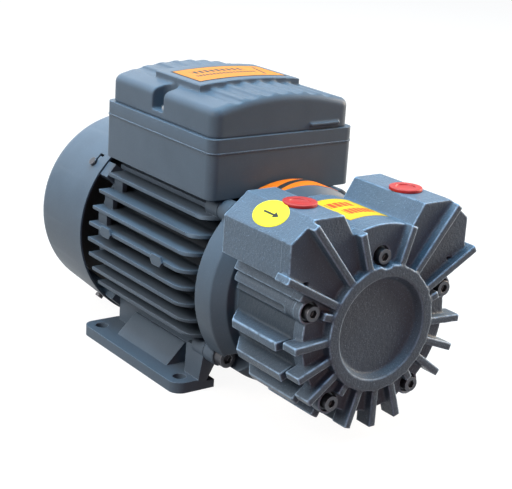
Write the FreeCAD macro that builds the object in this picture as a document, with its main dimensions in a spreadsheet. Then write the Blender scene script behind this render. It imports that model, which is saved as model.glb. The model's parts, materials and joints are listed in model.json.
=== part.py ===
"""Dry rotary vane vacuum pump, close-coupled to a foot-mounted fan-cooled motor.

The shaft runs along Y at the shaft height. The pump cover faces -Y and the fan cowl +Y.
The origin is the centre of the four foot holes, on the plane that the feet stand on.
"""
import FreeCAD, Part
import math
import os

import Sketcher

DRIVING_SIZES = {
    # shaft line and feet
    "shaft_height": 80,
    "foot_hole_spread": 132,
    "foot_hole_pitch": 112,
    "foot_hole_diameter": 10,
    "foot_edge": 11,
    "foot_plate_width": 33,
    "foot_length": 136,
    "foot_thickness": 8,
    "foot_corner": 9,
    "foot_web_offset": 47,
    "foot_web_thickness": 8,
    "foot_pillar_width": 14,
    "foot_pillar_length": 22,
    "foot_ramp_rise": 15,
    "foot_ramp_run": 17,
    "foot_ramp_length": 70,
    # motor frame
    "stator_radius": 56,
    "frame_wall": 4,
    "frame_front": 72,
    "frame_rear": 62,
    "fin_count": 8,
    "fin_tip_radius": 77,
    "fin_thickness": 2.6,
    "fin_pitch": 12.2,
    "fin_rise": 47.5,
    "fin_corner": 14,
    "fin_pad_point": 6.3,
    "fin_pad_flat": 3.8,
    "fin_pad_depth": 9,
    "fin_pad_height": 3.7,
    "fin_pad_reach": 0.8,
    "fin_pad_offset": 36,
    "fin_pad_rank": 3,
    "ledge_height": 51,
    "ledge_thickness": 3,
    "ledge_half_width": 50,
    "fin_web_thickness": 4,
    "fin_web_inset": 3,
    "fin_web_station": 58,
    "fin_web_length": 12,
    "fin_web_count": 3,
    "box_pad_depth": 21,
    "root_overlap": 2,
    "box_pad_half_width": 46,
    "box_pad_half_length": 52,
    "frame_lug_length": 14,
    "lug_circle": 70,
    "lug_radius": 8,
    "lug_pocket_gap": 2.6,
    "lug_upper_angle": 50,
    "lug_lower_angle": 44,
    # drive end bell
    "bell_neck_radius": 64,
    "bell_neck_length": 7,
    "bell_radius": 72.5,
    "bell_drum_length": 19,
    "bell_chamfer_length": 8,
    "bell_front_radius": 64,
    "bell_groove_radius": 57,
    "bell_groove_width": 5.7,
    "bell_cavity_radius": 52.6,
    "bell_cavity_depth": 19,
    "bell_hub_radius": 33,
    "bell_hub_wall": 4,
    "bell_lug_length": 12,
    "spigot_length": 5,
    "seat_clearance": 0.02,
    "running_gap": 0.05,
    "loose_fit": 0.1,
    "shaft_play": 1,
    # bearings and shaft seal
    "front_bearing_radius": 26,
    "front_bearing_bore": 12.5,
    "front_bearing_width": 15,
    "rear_bearing_radius": 23.5,
    "rear_bearing_bore": 10,
    "rear_bearing_width": 14,
    "race_wall": 3.8,
    "ball_count": 7,
    "seal_radius": 17,
    "seal_width": 6,
    "seal_bore": 11,
    "seal_gap": 0.5,
    # rear end shield and fan side
    "shield_thickness": 7,
    "shield_radius": 64,
    "shield_hub_radius": 29,
    "shield_lip": 3,
    "shield_lip_radius": 20,
    "spring_thickness": 1.5,
    "cowl_lug_angle": 49.5,
    "cowl_lug_count": 4,
    "cowl_lug_width": 12,
    "cowl_lug_length": 31,
    "cowl_lug_depth": 7.5,
    "cowl_gap": 10.3,
    "cowl_radius": 78.2,
    "cowl_taper": 3.6,
    "cowl_length": 78,
    "cowl_wall": 1.5,
    "cowl_corner": 13,
    "cowl_slot_top": 9,
    "cowl_slot_width": 2.4,
    "cowl_slot_hook": 5,
    "cowl_slot_drop": 2,
    "grille_ring_count": 5,
    "grille_ring_width": 5.4,
    "grille_margin": 1.6,
    "grille_first_radius": 13,
    "grille_bar_count": 6,
    "grille_bar_width": 6,
    "cowl_screw_station": 15,
    "cowl_screw_radius": 2,
    "cowl_screw_head_radius": 3.2,
    "cowl_screw_head_height": 2.4,
    "cowl_screw_length": 9,
    "shield_screw_circle": 59,
    "shield_screw_radius": 2,
    "shield_screw_head_radius": 3.5,
    "shield_screw_head_height": 3,
    "shield_screw_length": 18,
    "shield_boss_radius": 5,
    "shield_boss_length": 14,
    "fan_gap": 22,
    "fan_seat_radius": 8,
    "fan_hub_radius": 17,
    "fan_hub_length": 24,
    "fan_tip_gap": 7.1,
    "fan_disc_thickness": 3,
    "fan_blade_count": 8,
    "fan_blade_depth": 20,
    "fan_blade_thickness": 2.5,
    "fan_clip_thickness": 1.2,
    "fan_clip_radius": 12,
    "shaft_tail": 4,
    # motor inside
    "stator_length": 72,
    "stator_bore": 31,
    "stator_centre": 4,
    "winding_overhang": 17,
    "winding_inner": 35,
    "winding_outer": 51,
    "winding_round": 6,
    "air_gap": 0.5,
    "cage_ring_length": 9,
    "cage_ring_inner": 19,
    "cage_bridge": 1.5,
    "core_seat_radius": 15,
    # terminal box
    "box_half_width": 61.6,
    "box_front": 74.9,
    "box_rear": 67.4,
    "box_seat": 61.9,
    "box_height": 42.1,
    "box_wall": 3,
    "box_floor": 3,
    "box_flange_width": 7,
    "box_flange_thickness": 3,
    "box_ridge_width": 0.9,
    "box_ridge_depth": 0.45,
    "box_corner": 7,
    "gasket_thickness": 1.5,
    "lid_inset": 2.7,
    "lid_crown": 28,
    "lid_crown_radius": 195,
    "lid_wall": 2.5,
    "lid_roof": 12,
    "lid_edge_round": 6,
    "lid_corner": 8,
    "latch_left": 23,
    "latch_right": 48,
    "latch_rise": 3.2,
    "latch_thickness": 1.8,
    "latch_depth": 2.2,
    "lid_gasket_width": 2,
    "lid_gasket_height": 1.5,
    "flute_count": 7,
    "flute_pitch": 13.3,
    "flute_width": 10.6,
    "flute_radius": 11.5,
    "flute_margin": 5,
    "plate_half_width": 43.5,
    "plate_front": 30,
    "plate_rear": 28,
    "plate_thickness": 2.5,
    "notch_radius": 7.5,
    "notch_depth": 8,
    "notch_floor": 5,
    "notch_station": -0.5,
    "notch_wall": 3.5,
    "lid_column_half": 7,
    "lid_column_reach": 5,
    "lid_column_floor": 4,
    "lid_screw_radius": 2,
    "lid_screw_head_radius": 3.8,
    "lid_screw_head_height": 3,
    "lid_screw_length": 18,
    "box_screw_circle_x": 38,
    "box_screw_circle_y": 42,
    "box_screw_radius": 2.5,
    "box_screw_head_radius": 4.3,
    "box_screw_head_height": 3,
    "box_screw_length": 12,
    "cable_hole_radius": 12,
    "terminal_width": 22,
    "terminal_length": 60,
    "terminal_height": 12,
    "terminal_offset": 26,
    "post_count": 5,
    "post_pitch": 11,
    "post_radius": 2.2,
    "post_height": 8,
    "capacitor_radius": 14,
    "capacitor_length": 66,
    "capacitor_offset": 23,
    "clamp_thickness": 1.2,
    "clamp_width": 14,
    "clamp_toe": 5,
    # cable gland
    "gland_rise": 19.1,
    "gland_station": 30,
    "gland_bore": 4.5,
    "gland_thread_radius": 8,
    "gland_hex_radius": 12.5,
    "gland_hex_length": 6,
    "gland_neck_radius": 8.5,
    "gland_neck_length": 8,
    "gland_seal_radius": 6.8,
    "gland_seal_length": 9,
    "gland_nut_radius": 11,
    "gland_nut_length": 15,
    "gland_locknut_thickness": 4,
    "gland_tail": 3,
    "gland_dome_length": 4,
    "gland_dome_rise": 3,
    "gland_nut_gap": 0.4,
    # pump cylinder
    "pump_length": 64.3,
    "barrel_radius": 60,
    "saddle_radius": 69.5,
    "saddle_angle": 22,
    "chamber_radius": 39.15,
    "chamber_offset": 4,
    "port_top": 79,
    "port_inner": 33.8,
    "port_outer": 57,
    "port_side": 74.4,
    "port_shoulder": 65,
    "port_bottom": 38.7,
    "port_foot_inner": 20,
    "port_foot_height": 57,
    "port_position": 44.8,
    "port_station": 152.2,
    "port_bore": 8.3,
    "port_depth": 18,
    "duct_radius": 5,
    "duct_height": 25,
    "duct_reach": 20,
    "fin_step_angle": 18,
    "first_fin_angle": 3.5,
    "second_fin_angle": 21,
    "third_fin_angle": 37,
    "fourth_fin_angle": 72,
    "boss_groove_angle": 14,
    "boss_groove_width": 4.5,
    "boss_groove_floor": 62,
    "boss_groove_end": 9,
    "cylinder_fin_count": 5,
    "cylinder_fin_first": 5.5,
    "cylinder_fin_step": 18.3,
    "cylinder_fin_tip": 72,
    "cylinder_fin_thickness": 6.5,
    "cylinder_fin_setback": 14,
    "cylinder_fin_front_gap": 4,
    "cylinder_fin_rear_gap": 2,
    "boss_radius": 8,
    "bolt_circle": 58.5,
    "top_bolt_circle": 48,
    # pump end cover
    "cover_gasket_thickness": 0.6,
    "cover_plate_thickness": 7.4,
    "ring_height": 7.2,
    "ring_outer": 43.5,
    "ring_inner": 35.4,
    "recess_floor_radius": 32.4,
    "recess_depth": 6,
    "cover_fin_tip": 70,
    "cover_fin_thickness": 5.2,
    "cover_fin_drop": 0.8,
    "corner_fin_tip": 97,
    "corner_fin_angle": 51.5,
    "side_fin_tip": 90.5,
    "side_fin_angle": 29,
    "stub_tip": 51,
    "cover_boss_radius": 8.5,
    "cover_boss_depth": 4,
    "bolt_radius": 3,
    "bolt_head_radius": 5.2,
    "bolt_head_height": 6,
    "lug_bolt_radius": 4,
    "lug_bolt_head_radius": 6.5,
    "lug_bolt_head_height": 8,
    "bolt_socket_radius": 2.9,
    "bolt_socket_depth": 3.5,
    "bolt_length": 27,
    "washer_radius": 6.2,
    "washer_thickness": 1.6,
    "washer_play": 0.6,
    # pump inside
    "side_plate_radius": 43.5,
    "side_plate_thickness": 6,
    "joint_screw_circle": 47,
    "joint_screw_length": 31,
    "joint_screw_head_radius": 5,
    "dowel_circle": 50.5,
    "dowel_radius": 3,
    "dowel_length": 10,
    "rotor_radius": 35,
    "rotor_end_clearance": 0.1,
    "rotor_bore": 9,
    "slot_count": 4,
    "slot_first_angle": 45,
    "slot_width": 4.1,
    "slot_depth": 20.5,
    "vane_clearance": 0.05,
    "vane_height": 20,
    "vane_drawback": 0.2,
    "key_width": 6,
    "key_height": 6,
    "key_length": 36,
    "rotor_screw_radius": 4,
    "rotor_screw_head_radius": 6.5,
    "rotor_screw_head_height": 6,
    "rotor_screw_length": 26,
    "rotor_recess_radius": 10.5,
    "rotor_recess_depth": 12,
    "shaft_end_gap": 1,
    "rotor_washer_thickness": 2.5,
    # port plugs
    "plug_flange_radius": 11.3,
    "plug_flange_thickness": 2.1,
    "plug_skirt_length": 9,
    "plug_wall": 1.5,
    "plug_clearance": 0.08,
}

FULL_TURN = 360
SIDES_OF_A_NUT = 6

document = FreeCAD.newDocument("vane_pump")
sheet = document.addObject("Spreadsheet::Sheet", "Sizes")


class Size:
    """A length with its present value and the sheet expression that gives it."""

    def __init__(self, value, text=None):
        self.value = float(value)
        self.text = "(%.9g)" % value if text is None else text

    @staticmethod
    def of(other):
        return other if isinstance(other, Size) else Size(other)

    def joined(self, sign, other, value):
        return Size(value, "(%s %s %s)" % (self.text, sign, other.text))

    def __add__(self, other):
        other = Size.of(other)
        return self.joined("+", other, self.value + other.value)

    def __radd__(self, other):
        return Size.of(other) + self

    def __sub__(self, other):
        other = Size.of(other)
        return self.joined("-", other, self.value - other.value)

    def __rsub__(self, other):
        return Size.of(other) - self

    def __mul__(self, other):
        other = Size.of(other)
        return self.joined("*", other, self.value * other.value)

    def __rmul__(self, other):
        return self * other

    def __truediv__(self, other):
        other = Size.of(other)
        return self.joined("/", other, self.value / other.value)

    def __neg__(self):
        return Size(0) - self

    def root(self):
        return Size(math.sqrt(self.value), "sqrt(%s)" % self.text)


def sine(angle):
    angle = Size.of(angle)
    return Size(math.sin(math.radians(angle.value)), "sin(%s)" % angle.text)


def cosine(angle):
    angle = Size.of(angle)
    return Size(math.cos(math.radians(angle.value)), "cos(%s)" % angle.text)


def fill_sheet():
    """Gives each driving dimension a cell with its own alias."""
    for row, (name, number) in enumerate(DRIVING_SIZES.items(), start=1):
        sheet.set("A%d" % row, name)
        sheet.set("B%d" % row, str(number))
        sheet.setAlias("B%d" % row, name)
    document.recompute()


def cell(name):
    return Size(DRIVING_SIZES[name], "Sizes.%s" % name)


def bind(feature, field, amount):
    feature.setExpression(field, Size.of(amount).text)


def place(feature, x=0, y=0, z=0):
    for axis, amount in zip("xyz", (x, y, z)):
        bind(feature, "Placement.Base." + axis, amount)


def new_body(name, x=0, y=0, z=0):
    body = document.addObject("PartDesign::Body", name)
    body.Label = name
    body.AllowCompound = True
    place(body, x, y, z)
    return body


def shaft_body(name):
    """A body whose own origin lies on the shaft axis, above the foot pattern's centre."""
    return new_body(name, z=cell("shaft_height"))


def new_sketch(body, plane, offset=0):
    sketch = body.newObject("Sketcher::SketchObject", body.Name + "_sketch")
    role = plane + "_Plane"
    support = [f for f in body.Origin.OriginFeatures if f.Role == role][0]
    sketch.AttachmentSupport = [(support, "")]
    sketch.MapMode = "FlatFace"
    bind(sketch, "AttachmentOffset.Base.z", offset)
    return sketch


def pin(sketch, geometry, point, x, y):
    """Holds a sketch point at x and y from the sketch's origin."""
    for kind, amount in (("DistanceX", x), ("DistanceY", y)):
        amount = Size.of(amount)
        index = sketch.addConstraint(
            Sketcher.Constraint(kind, -1, 1, geometry, point, amount.value)
        )
        bind(sketch, "Constraints[%d]" % index, amount)


def arc_between(start, end, radius):
    """The shorter arc from start to end, turning left for a positive radius."""
    chord = end - start
    size_of = abs(radius)
    sagitta = math.sqrt(max(size_of ** 2 - (chord.Length / 2) ** 2, 0))
    left = FreeCAD.Vector(-chord.y, chord.x, 0).normalize() * sagitta
    centre = (start + end) * 0.5 + (left if radius > 0 else -left)
    first, last = (start, end) if radius > 0 else (end, start)
    angles = [math.atan2(p.y - centre.y, p.x - centre.x) for p in (first, last)]
    if angles[1] < angles[0]:
        angles[1] += 2 * math.pi
    return Part.ArcOfCircle(Part.Circle(centre, FreeCAD.Vector(0, 0, 1), size_of), *angles)


def draw_outline(sketch, corners):
    """Closes a line of pinned corners; a corner's third value is the radius of an arc from it."""
    sized = [(Size.of(c[0]), Size.of(c[1]), Size.of(c[2]) if len(c) > 2 else None) for c in corners]
    points = [FreeCAD.Vector(x.value, y.value, 0) for x, y, bend in sized]
    sides = []
    for index, (x, y, bend) in enumerate(sized):
        start, end = points[index], points[(index + 1) % len(points)]
        if bend is None:
            geometry = sketch.addGeometry(Part.LineSegment(start, end), False)
            sides.append((geometry, 1, 2))
        else:
            geometry = sketch.addGeometry(arc_between(start, end, bend.value), False)
            sides.append((geometry, 1, 2) if bend.value > 0 else (geometry, 2, 1))
            radius = bend if bend.value > 0 else -bend
            number = sketch.addConstraint(Sketcher.Constraint("Radius", geometry, radius.value))
            bind(sketch, "Constraints[%d]" % number, radius)
        pin(sketch, geometry, sides[-1][1], x, y)
    for index, (geometry, start, end) in enumerate(sides):
        following = sides[(index + 1) % len(sides)]
        sketch.addConstraint(
            Sketcher.Constraint("Coincident", geometry, end, following[0], following[1])
        )


def draw_box(sketch, left, right, bottom, top):
    draw_outline(sketch, [(left, bottom), (right, bottom), (right, top), (left, top)])


def draw_rounded_box(sketch, left, right, bottom, top, radii):
    """A box with its own radius, or 0, at lower left, lower right, upper right and upper left."""
    corners = []
    ends = ((left, bottom, 1, 1), (right, bottom, -1, 1), (right, top, -1, -1), (left, top, 1, -1))
    for turn, (x, y, inward_x, inward_y) in enumerate(ends):
        radius = radii[turn]
        if not Size.of(radius).value:
            corners.append((x, y))
            continue
        along_x, along_y = (x + radius * inward_x, y), (x, y + radius * inward_y)
        first, last = (along_y, along_x) if turn % 2 == 0 else (along_x, along_y)
        corners.append(first + (radius,))
        corners.append(last)
    draw_outline(sketch, corners)


def draw_circle(sketch, x, y, radius):
    x, y, radius = Size.of(x), Size.of(y), Size.of(radius)
    shape = Part.Circle(FreeCAD.Vector(x.value, y.value, 0), FreeCAD.Vector(0, 0, 1), radius.value)
    geometry = sketch.addGeometry(shape, False)
    index = sketch.addConstraint(Sketcher.Constraint("Radius", geometry, radius.value))
    bind(sketch, "Constraints[%d]" % index, radius)
    pin(sketch, geometry, 3, x, y)


def draw_hexagon(sketch, x, y, radius):
    corners = []
    step = FULL_TURN / SIDES_OF_A_NUT
    for turn in range(SIDES_OF_A_NUT):
        corners.append((x + radius * cosine(step * turn), y + radius * sine(step * turn)))
    draw_outline(sketch, corners)


def ray_box(inner, outer, thickness, angle):
    """Corners of a straight fin that runs outwards from the shaft at an angle from +X."""
    along = (cosine(angle), sine(angle))
    half = thickness / 2
    corners = []
    for radius, side in ((inner, -1), (outer, -1), (outer, 1), (inner, 1)):
        x = radius * along[0] - half * side * along[1]
        z = radius * along[1] + half * side * along[0]
        corners.append((x, z))
    return corners


def on_circle(radius, angle):
    return radius * cosine(angle), radius * sine(angle)


def volume_of(body):
    return 0.0 if body.Shape.isNull() else body.Shape.Volume


def add_feature(body, kind, sketch, length, backwards, grows):
    before = volume_of(body)
    feature = body.newObject("PartDesign::" + kind, body.Name + "_" + kind.lower())
    feature.Profile = sketch
    bind(feature, "Length", length)
    feature.Reversed = backwards
    sketch.Visibility = False
    document.recompute()
    change = volume_of(body) - before
    if change == 0 or (change > 0) != grows:
        raise RuntimeError("%s of %s changes nothing: %g" % (kind, body.Label, change))
    return feature


def pad(body, sketch, length, backwards=False):
    """Adds material along the sketch's normal: -Y on XZ, +Z on XY, +X on YZ."""
    return add_feature(body, "Pad", sketch, length, backwards, True)


def cut(body, sketch, length, along_normal=False):
    """Removes material against the sketch's normal, or along it."""
    return add_feature(body, "Pocket", sketch, length, along_normal, False)


def repeat(body, feature, sketch, count, angle=FULL_TURN):
    pattern = body.newObject("PartDesign::PolarPattern", body.Name + "_pattern")
    pattern.Originals = [feature]
    pattern.Axis = (sketch, ["N_Axis"])
    pattern.Angle = angle
    pattern.Occurrences = count
    body.Tip = pattern
    document.recompute()
    return pattern


def round_edges(body, radius, wanted):
    """Rounds the edges of the body's present shape that the test picks."""
    base = body.Tip
    names = []
    for index, edge in enumerate(base.Shape.Edges, start=1):
        if wanted(edge):
            names.append("Edge%d" % index)
    if not names:
        raise RuntimeError("no edge to round on " + body.Label)
    fillet = body.newObject("PartDesign::Fillet", body.Name + "_fillet")
    fillet.Base = (base, names)
    bind(fillet, "Radius", radius)
    document.recompute()
    return fillet


def runs_along(edge, axis):
    """True for a straight edge parallel to the axis, 0 for X, 1 for Y, 2 for Z."""
    if edge.Curve.TypeId != "Part::GeomLine":
        return False
    direction = edge.Curve.Direction
    return abs(abs(direction[axis]) - 1) < 1e-6


def turned(name, outline, centre_height=None):
    """A body of revolution about Y from an outline of (station, radius) corners."""
    height = cell("shaft_height") if centre_height is None else centre_height
    body = new_body(name, z=height)
    add_turning(body, outline)
    return body


def add_turning(body, outline):
    sketch = new_sketch(body, "YZ")
    draw_outline(sketch, outline)
    feature = body.newObject("PartDesign::Revolution", body.Name + "_turning")
    feature.Profile = sketch
    feature.ReferenceAxis = (sketch, ["H_Axis"])
    feature.Angle = FULL_TURN
    document.recompute()
    return feature


def turn_away(body, sketch):
    """Cuts the sketch's outline away all round the shaft axis."""
    before = volume_of(body)
    feature = body.newObject("PartDesign::Groove", body.Name + "_groove")
    feature.Profile = sketch
    feature.ReferenceAxis = (sketch, ["H_Axis"])
    feature.Angle = FULL_TURN
    document.recompute()
    if volume_of(body) >= before:
        raise RuntimeError("groove of %s cuts nothing" % body.Label)
    return feature


def ring(name, rear, front, inner, outer, centre_height=None):
    return turned(
        name, [(rear, inner), (rear, outer), (front, outer), (front, inner)], centre_height
    )


def socket_screws(name, centres, seat, head_radius, head_height, radius, length):
    """Socket-head screws along Y with their heads in front of the seat plane."""
    body = shaft_body(name)
    heads = new_sketch(body, "XZ", -seat)
    shanks = new_sketch(body, "XZ", -seat)
    sockets = new_sketch(body, "XZ", -seat + head_height)
    for x, z in centres:
        draw_circle(heads, x, z, head_radius)
        draw_circle(shanks, x, z, radius)
        draw_hexagon(sockets, x, z, head_radius * cell("bolt_socket_radius") / cell("bolt_head_radius"))
    pad(body, heads, head_height)
    pad(body, shanks, length, backwards=True)
    cut(body, sockets, cell("bolt_socket_depth"))
    return body


fill_sheet()
clear = cell("seat_clearance")
slack = cell("loose_fit")
overlap = cell("root_overlap")
half_fit = cell("running_gap")

# Stations along the shaft, from the foot pattern's centre; the pump is on the negative side.
bell_rear = -cell("frame_front")
drum_rear = bell_rear - cell("bell_neck_length")
drum_front = drum_rear - cell("bell_drum_length")
groove_rear = drum_front - cell("bell_chamfer_length")
bell_front = groove_rear - cell("bell_groove_width")
plate_rear = bell_front + cell("side_plate_thickness")
seal_front = plate_rear + cell("bell_hub_wall")
front_bearing_front = seal_front + cell("seal_width") + cell("seal_gap")
front_bearing_rear = front_bearing_front + cell("front_bearing_width")
cylinder_front = bell_front - cell("pump_length")
cover_back = cylinder_front - cell("cover_gasket_thickness")
cover_face = cover_back - cell("cover_plate_thickness")
ring_face = cover_face - cell("ring_height")
frame_rear = cell("frame_rear")
rear_bearing_rear = frame_rear + cell("rear_bearing_width")
shield_end = rear_bearing_rear + cell("spring_thickness") + cell("shield_lip")
cowl_front = frame_rear + cell("cowl_gap")
cowl_end = cowl_front + cell("cowl_length")
fan_start = shield_end + cell("fan_gap")
fan_end = fan_start + cell("fan_hub_length")
shaft_end = fan_end + cell("shaft_tail")
rotor_rear = bell_front - cell("rotor_end_clearance")
rotor_front = cover_back + cell("rotor_end_clearance")
rotor_recess_floor = rotor_front + cell("rotor_recess_depth")
core_rear = cell("stator_length") / 2 - cell("stator_centre")
core_front = core_rear - cell("stator_length")
frame_radius = cell("stator_radius") + cell("frame_wall")
cowl_inner = cell("cowl_radius") - cell("cowl_wall")
cowl_tail = cell("cowl_radius") - cell("cowl_taper")
cowl_flare = cowl_end - cell("cowl_corner") - cowl_front
fan_radius = cowl_inner - cell("cowl_taper") - cell("fan_tip_gap")
box_bottom = cell("shaft_height") + cell("box_seat")
box_rim = box_bottom + cell("box_height")
gland_height = box_bottom + cell("gland_rise")
box_pad_top = cell("box_seat") - cell("gasket_thickness")

LUG_ANGLES = (
    cell("lug_upper_angle"),
    180 - cell("lug_upper_angle"),
    180 + cell("lug_lower_angle"),
    -cell("lug_lower_angle"),
)
SHIELD_ANGLES = (22, 158, 202, 338)
JOINT_ANGLES = (45, 135, 225, 315)


def cover_bolt_centres():
    """Four bolts on one circle, every fourth step, and the top one nearer the shaft."""
    step = cell("fin_step_angle")
    centres = [on_circle(cell("bolt_circle"), 90 + step * 4 * turn) for turn in range(1, 5)]
    centres.append(on_circle(cell("top_bolt_circle"), 90))
    return centres


def build_motor_frame():
    """Bored barrel with level cooling fins, a pad for the terminal box and two cast feet."""
    body = shaft_body("motor_frame")
    front, rear = bell_rear, frame_rear
    length = rear - front
    barrel = new_sketch(body, "XZ", -rear)
    draw_circle(barrel, 0, 0, frame_radius)
    pad(body, barrel, length)
    fins = new_sketch(body, "XZ", -rear)
    tip, corner = cell("fin_tip_radius"), cell("fin_corner")
    for rank in range(DRIVING_SIZES["fin_count"]):
        height = cell("fin_rise") - cell("fin_pitch") * rank
        reach = (tip * tip - height * height).root()
        root = (frame_radius * frame_radius - height * height).root() - cell("frame_wall") / 2
        low, high = height - cell("fin_thickness") / 2, height + cell("fin_thickness") / 2
        for side in (-1, 1):
            draw_box(fins, root * side, reach * side, low, high)
    pad(body, fins, length)
    spurs = new_sketch(body, "XZ", -cell("fin_web_station"))
    for rank in range(DRIVING_SIZES["fin_web_count"]):
        height = cell("fin_rise") - cell("fin_pitch") * rank
        outer = (tip * tip - height * height).root() - cell("fin_web_inset")
        inner = outer - cell("fin_web_thickness")
        for side in (-1, 1):
            draw_box(spurs, inner * side, outer * side, height - cell("fin_pitch"), height)
    pad(body, spurs, cell("fin_web_length"))
    ledge = new_sketch(body, "XZ", -rear)
    base = cell("ledge_height")
    across = cell("ledge_half_width")
    draw_box(ledge, -across, across, base, base + cell("ledge_thickness"))
    pad(body, ledge, length)
    rounding = new_sketch(body, "YZ")
    beyond = cell("frame_wall")
    draw_outline(
        rounding,
        [
            (front, tip - corner, -corner),
            (front + corner, tip),
            (front + corner, tip + beyond),
            (front - beyond, tip + beyond),
            (front - beyond, tip - corner),
        ],
    )
    turn_away(body, rounding)
    body_pads(body)
    top = new_sketch(body, "XY", box_pad_top)
    draw_box(
        top,
        -cell("box_pad_half_width"),
        cell("box_pad_half_width"),
        -cell("box_pad_half_length"),
        cell("box_pad_half_length"),
    )
    pad(body, top, cell("box_pad_depth"), backwards=True)
    add_feet(body)
    lugs = new_sketch(body, "XZ", -front)
    for angle in LUG_ANGLES:
        draw_circle(lugs, *on_circle(cell("lug_circle"), angle), cell("lug_radius"))
    pad(body, lugs, cell("frame_lug_length"), backwards=True)
    webs = new_sketch(body, "XZ", -front)
    for angle in LUG_ANGLES:
        draw_outline(webs, ray_box(frame_radius - overlap, cell("lug_circle"), cell("lug_radius"), angle))
    pad(body, webs, cell("frame_lug_length"), backwards=True)
    bosses = new_sketch(body, "XZ", -rear)
    for angle in SHIELD_ANGLES:
        draw_circle(bosses, *on_circle(cell("shield_screw_circle"), angle), cell("shield_boss_radius"))
    pad(body, bosses, cell("shield_boss_length"))
    bore = new_sketch(body, "XZ", -front)
    draw_circle(bore, 0, 0, cell("stator_radius"))
    cut(body, bore, length)
    taps = new_sketch(body, "XZ", -front)
    for angle in LUG_ANGLES:
        draw_circle(taps, *on_circle(cell("lug_circle"), angle), cell("lug_bolt_radius") + clear)
    cut(body, taps, cell("frame_lug_length"))
    rear_taps = new_sketch(body, "XZ", -rear)
    for angle in SHIELD_ANGLES:
        centre = on_circle(cell("shield_screw_circle"), angle)
        draw_circle(rear_taps, *centre, cell("shield_screw_radius") + clear)
    cut(body, rear_taps, cell("shield_boss_length"), along_normal=True)
    box_taps = new_sketch(body, "XY", box_pad_top)
    for x, y in box_screw_centres():
        draw_circle(box_taps, x, y, cell("box_screw_radius") + clear)
    cut(body, box_taps, cell("box_screw_length"))
    way = new_sketch(body, "XY", box_pad_top)
    draw_circle(way, 0, 0, cell("cable_hole_radius"))
    cut(body, way, cell("box_pad_depth"))
    return body


def body_pads(body):
    """Flat hexagonal pads on the edge of one fin, two on each side."""
    rank = cell("fin_pad_rank")
    height = cell("fin_rise") - cell("fin_pitch") * rank
    point, flat = cell("fin_pad_point"), cell("fin_pad_flat")
    reach = cell("fin_tip_radius") + cell("fin_pad_reach")
    for side in (-1, 1):
        sketch = new_sketch(body, "YZ", reach * side)
        for station in (-cell("fin_pad_offset"), cell("fin_pad_offset")):
            low, high = height - cell("fin_pad_height"), height + cell("fin_pad_height")
            draw_outline(
                sketch,
                [
                    (station - point, height),
                    (station - flat, low),
                    (station + flat, low),
                    (station + point, height),
                    (station + flat, high),
                    (station - flat, high),
                ],
            )
        pad(body, sketch, cell("fin_pad_depth"), backwards=side > 0)


def add_feet(body):
    """Two foot plates, each with a web, a sloping stiffener and a pillar under the front lug."""
    ground = -cell("shaft_height")
    plate_top = ground + cell("foot_thickness")
    outer = cell("foot_hole_spread") / 2 + cell("foot_edge")
    half = cell("foot_length") / 2
    plates = new_sketch(body, "XY", ground)
    webs = new_sketch(body, "XZ", -frame_rear)
    ramps = new_sketch(body, "XZ", -cell("foot_ramp_length") / 2)
    pillars = new_sketch(body, "XZ", -bell_rear)
    web = cell("foot_web_offset")
    middle, lug_line = on_circle(cell("lug_circle"), cell("lug_lower_angle"))
    thick = cell("foot_pillar_width") / 2
    for side in (-1, 1):
        near, far = outer - cell("foot_plate_width"), outer
        left, right = (near, far) if side > 0 else (-far, -near)
        corner = cell("foot_corner")
        radii = (0, corner, corner, 0) if side > 0 else (corner, 0, 0, corner)
        draw_rounded_box(plates, left, right, -half, half, radii)
        inner = web - cell("foot_web_thickness")
        draw_box(webs, web * side, inner * side, plate_top - overlap, -frame_radius / 2)
        draw_outline(
            pillars,
            [
                (near * side, plate_top - overlap),
                ((near + thick * 2) * side, plate_top - overlap),
                ((middle + thick) * side, -lug_line),
                ((middle - thick) * side, -lug_line),
            ],
        )
        draw_outline(
            ramps,
            [
                ((web - overlap) * side, plate_top - overlap),
                ((web + cell("foot_ramp_run")) * side, plate_top - overlap),
                ((web + cell("foot_ramp_run")) * side, plate_top),
                ((web + overlap) * side, plate_top + cell("foot_ramp_rise")),
                ((web - overlap) * side, plate_top + cell("foot_ramp_rise")),
            ],
        )
    pad(body, plates, cell("foot_thickness"))
    pad(body, webs, frame_rear - bell_rear)
    pad(body, ramps, cell("foot_ramp_length"))
    pad(body, pillars, cell("foot_pillar_length"), backwards=True)
    holes = new_sketch(body, "XY", ground)
    for side_x in (-1, 1):
        for side_y in (-1, 1):
            draw_circle(
                holes,
                cell("foot_hole_spread") / 2 * side_x,
                cell("foot_hole_pitch") / 2 * side_y,
                cell("foot_hole_diameter") / 2,
            )
    cut(body, holes, cell("foot_thickness") * 2, along_normal=True)


def box_screw_centres():
    x, y = cell("box_screw_circle_x"), cell("box_screw_circle_y")
    return [(-x, -y), (x, -y), (x, y), (-x, y)]


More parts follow.
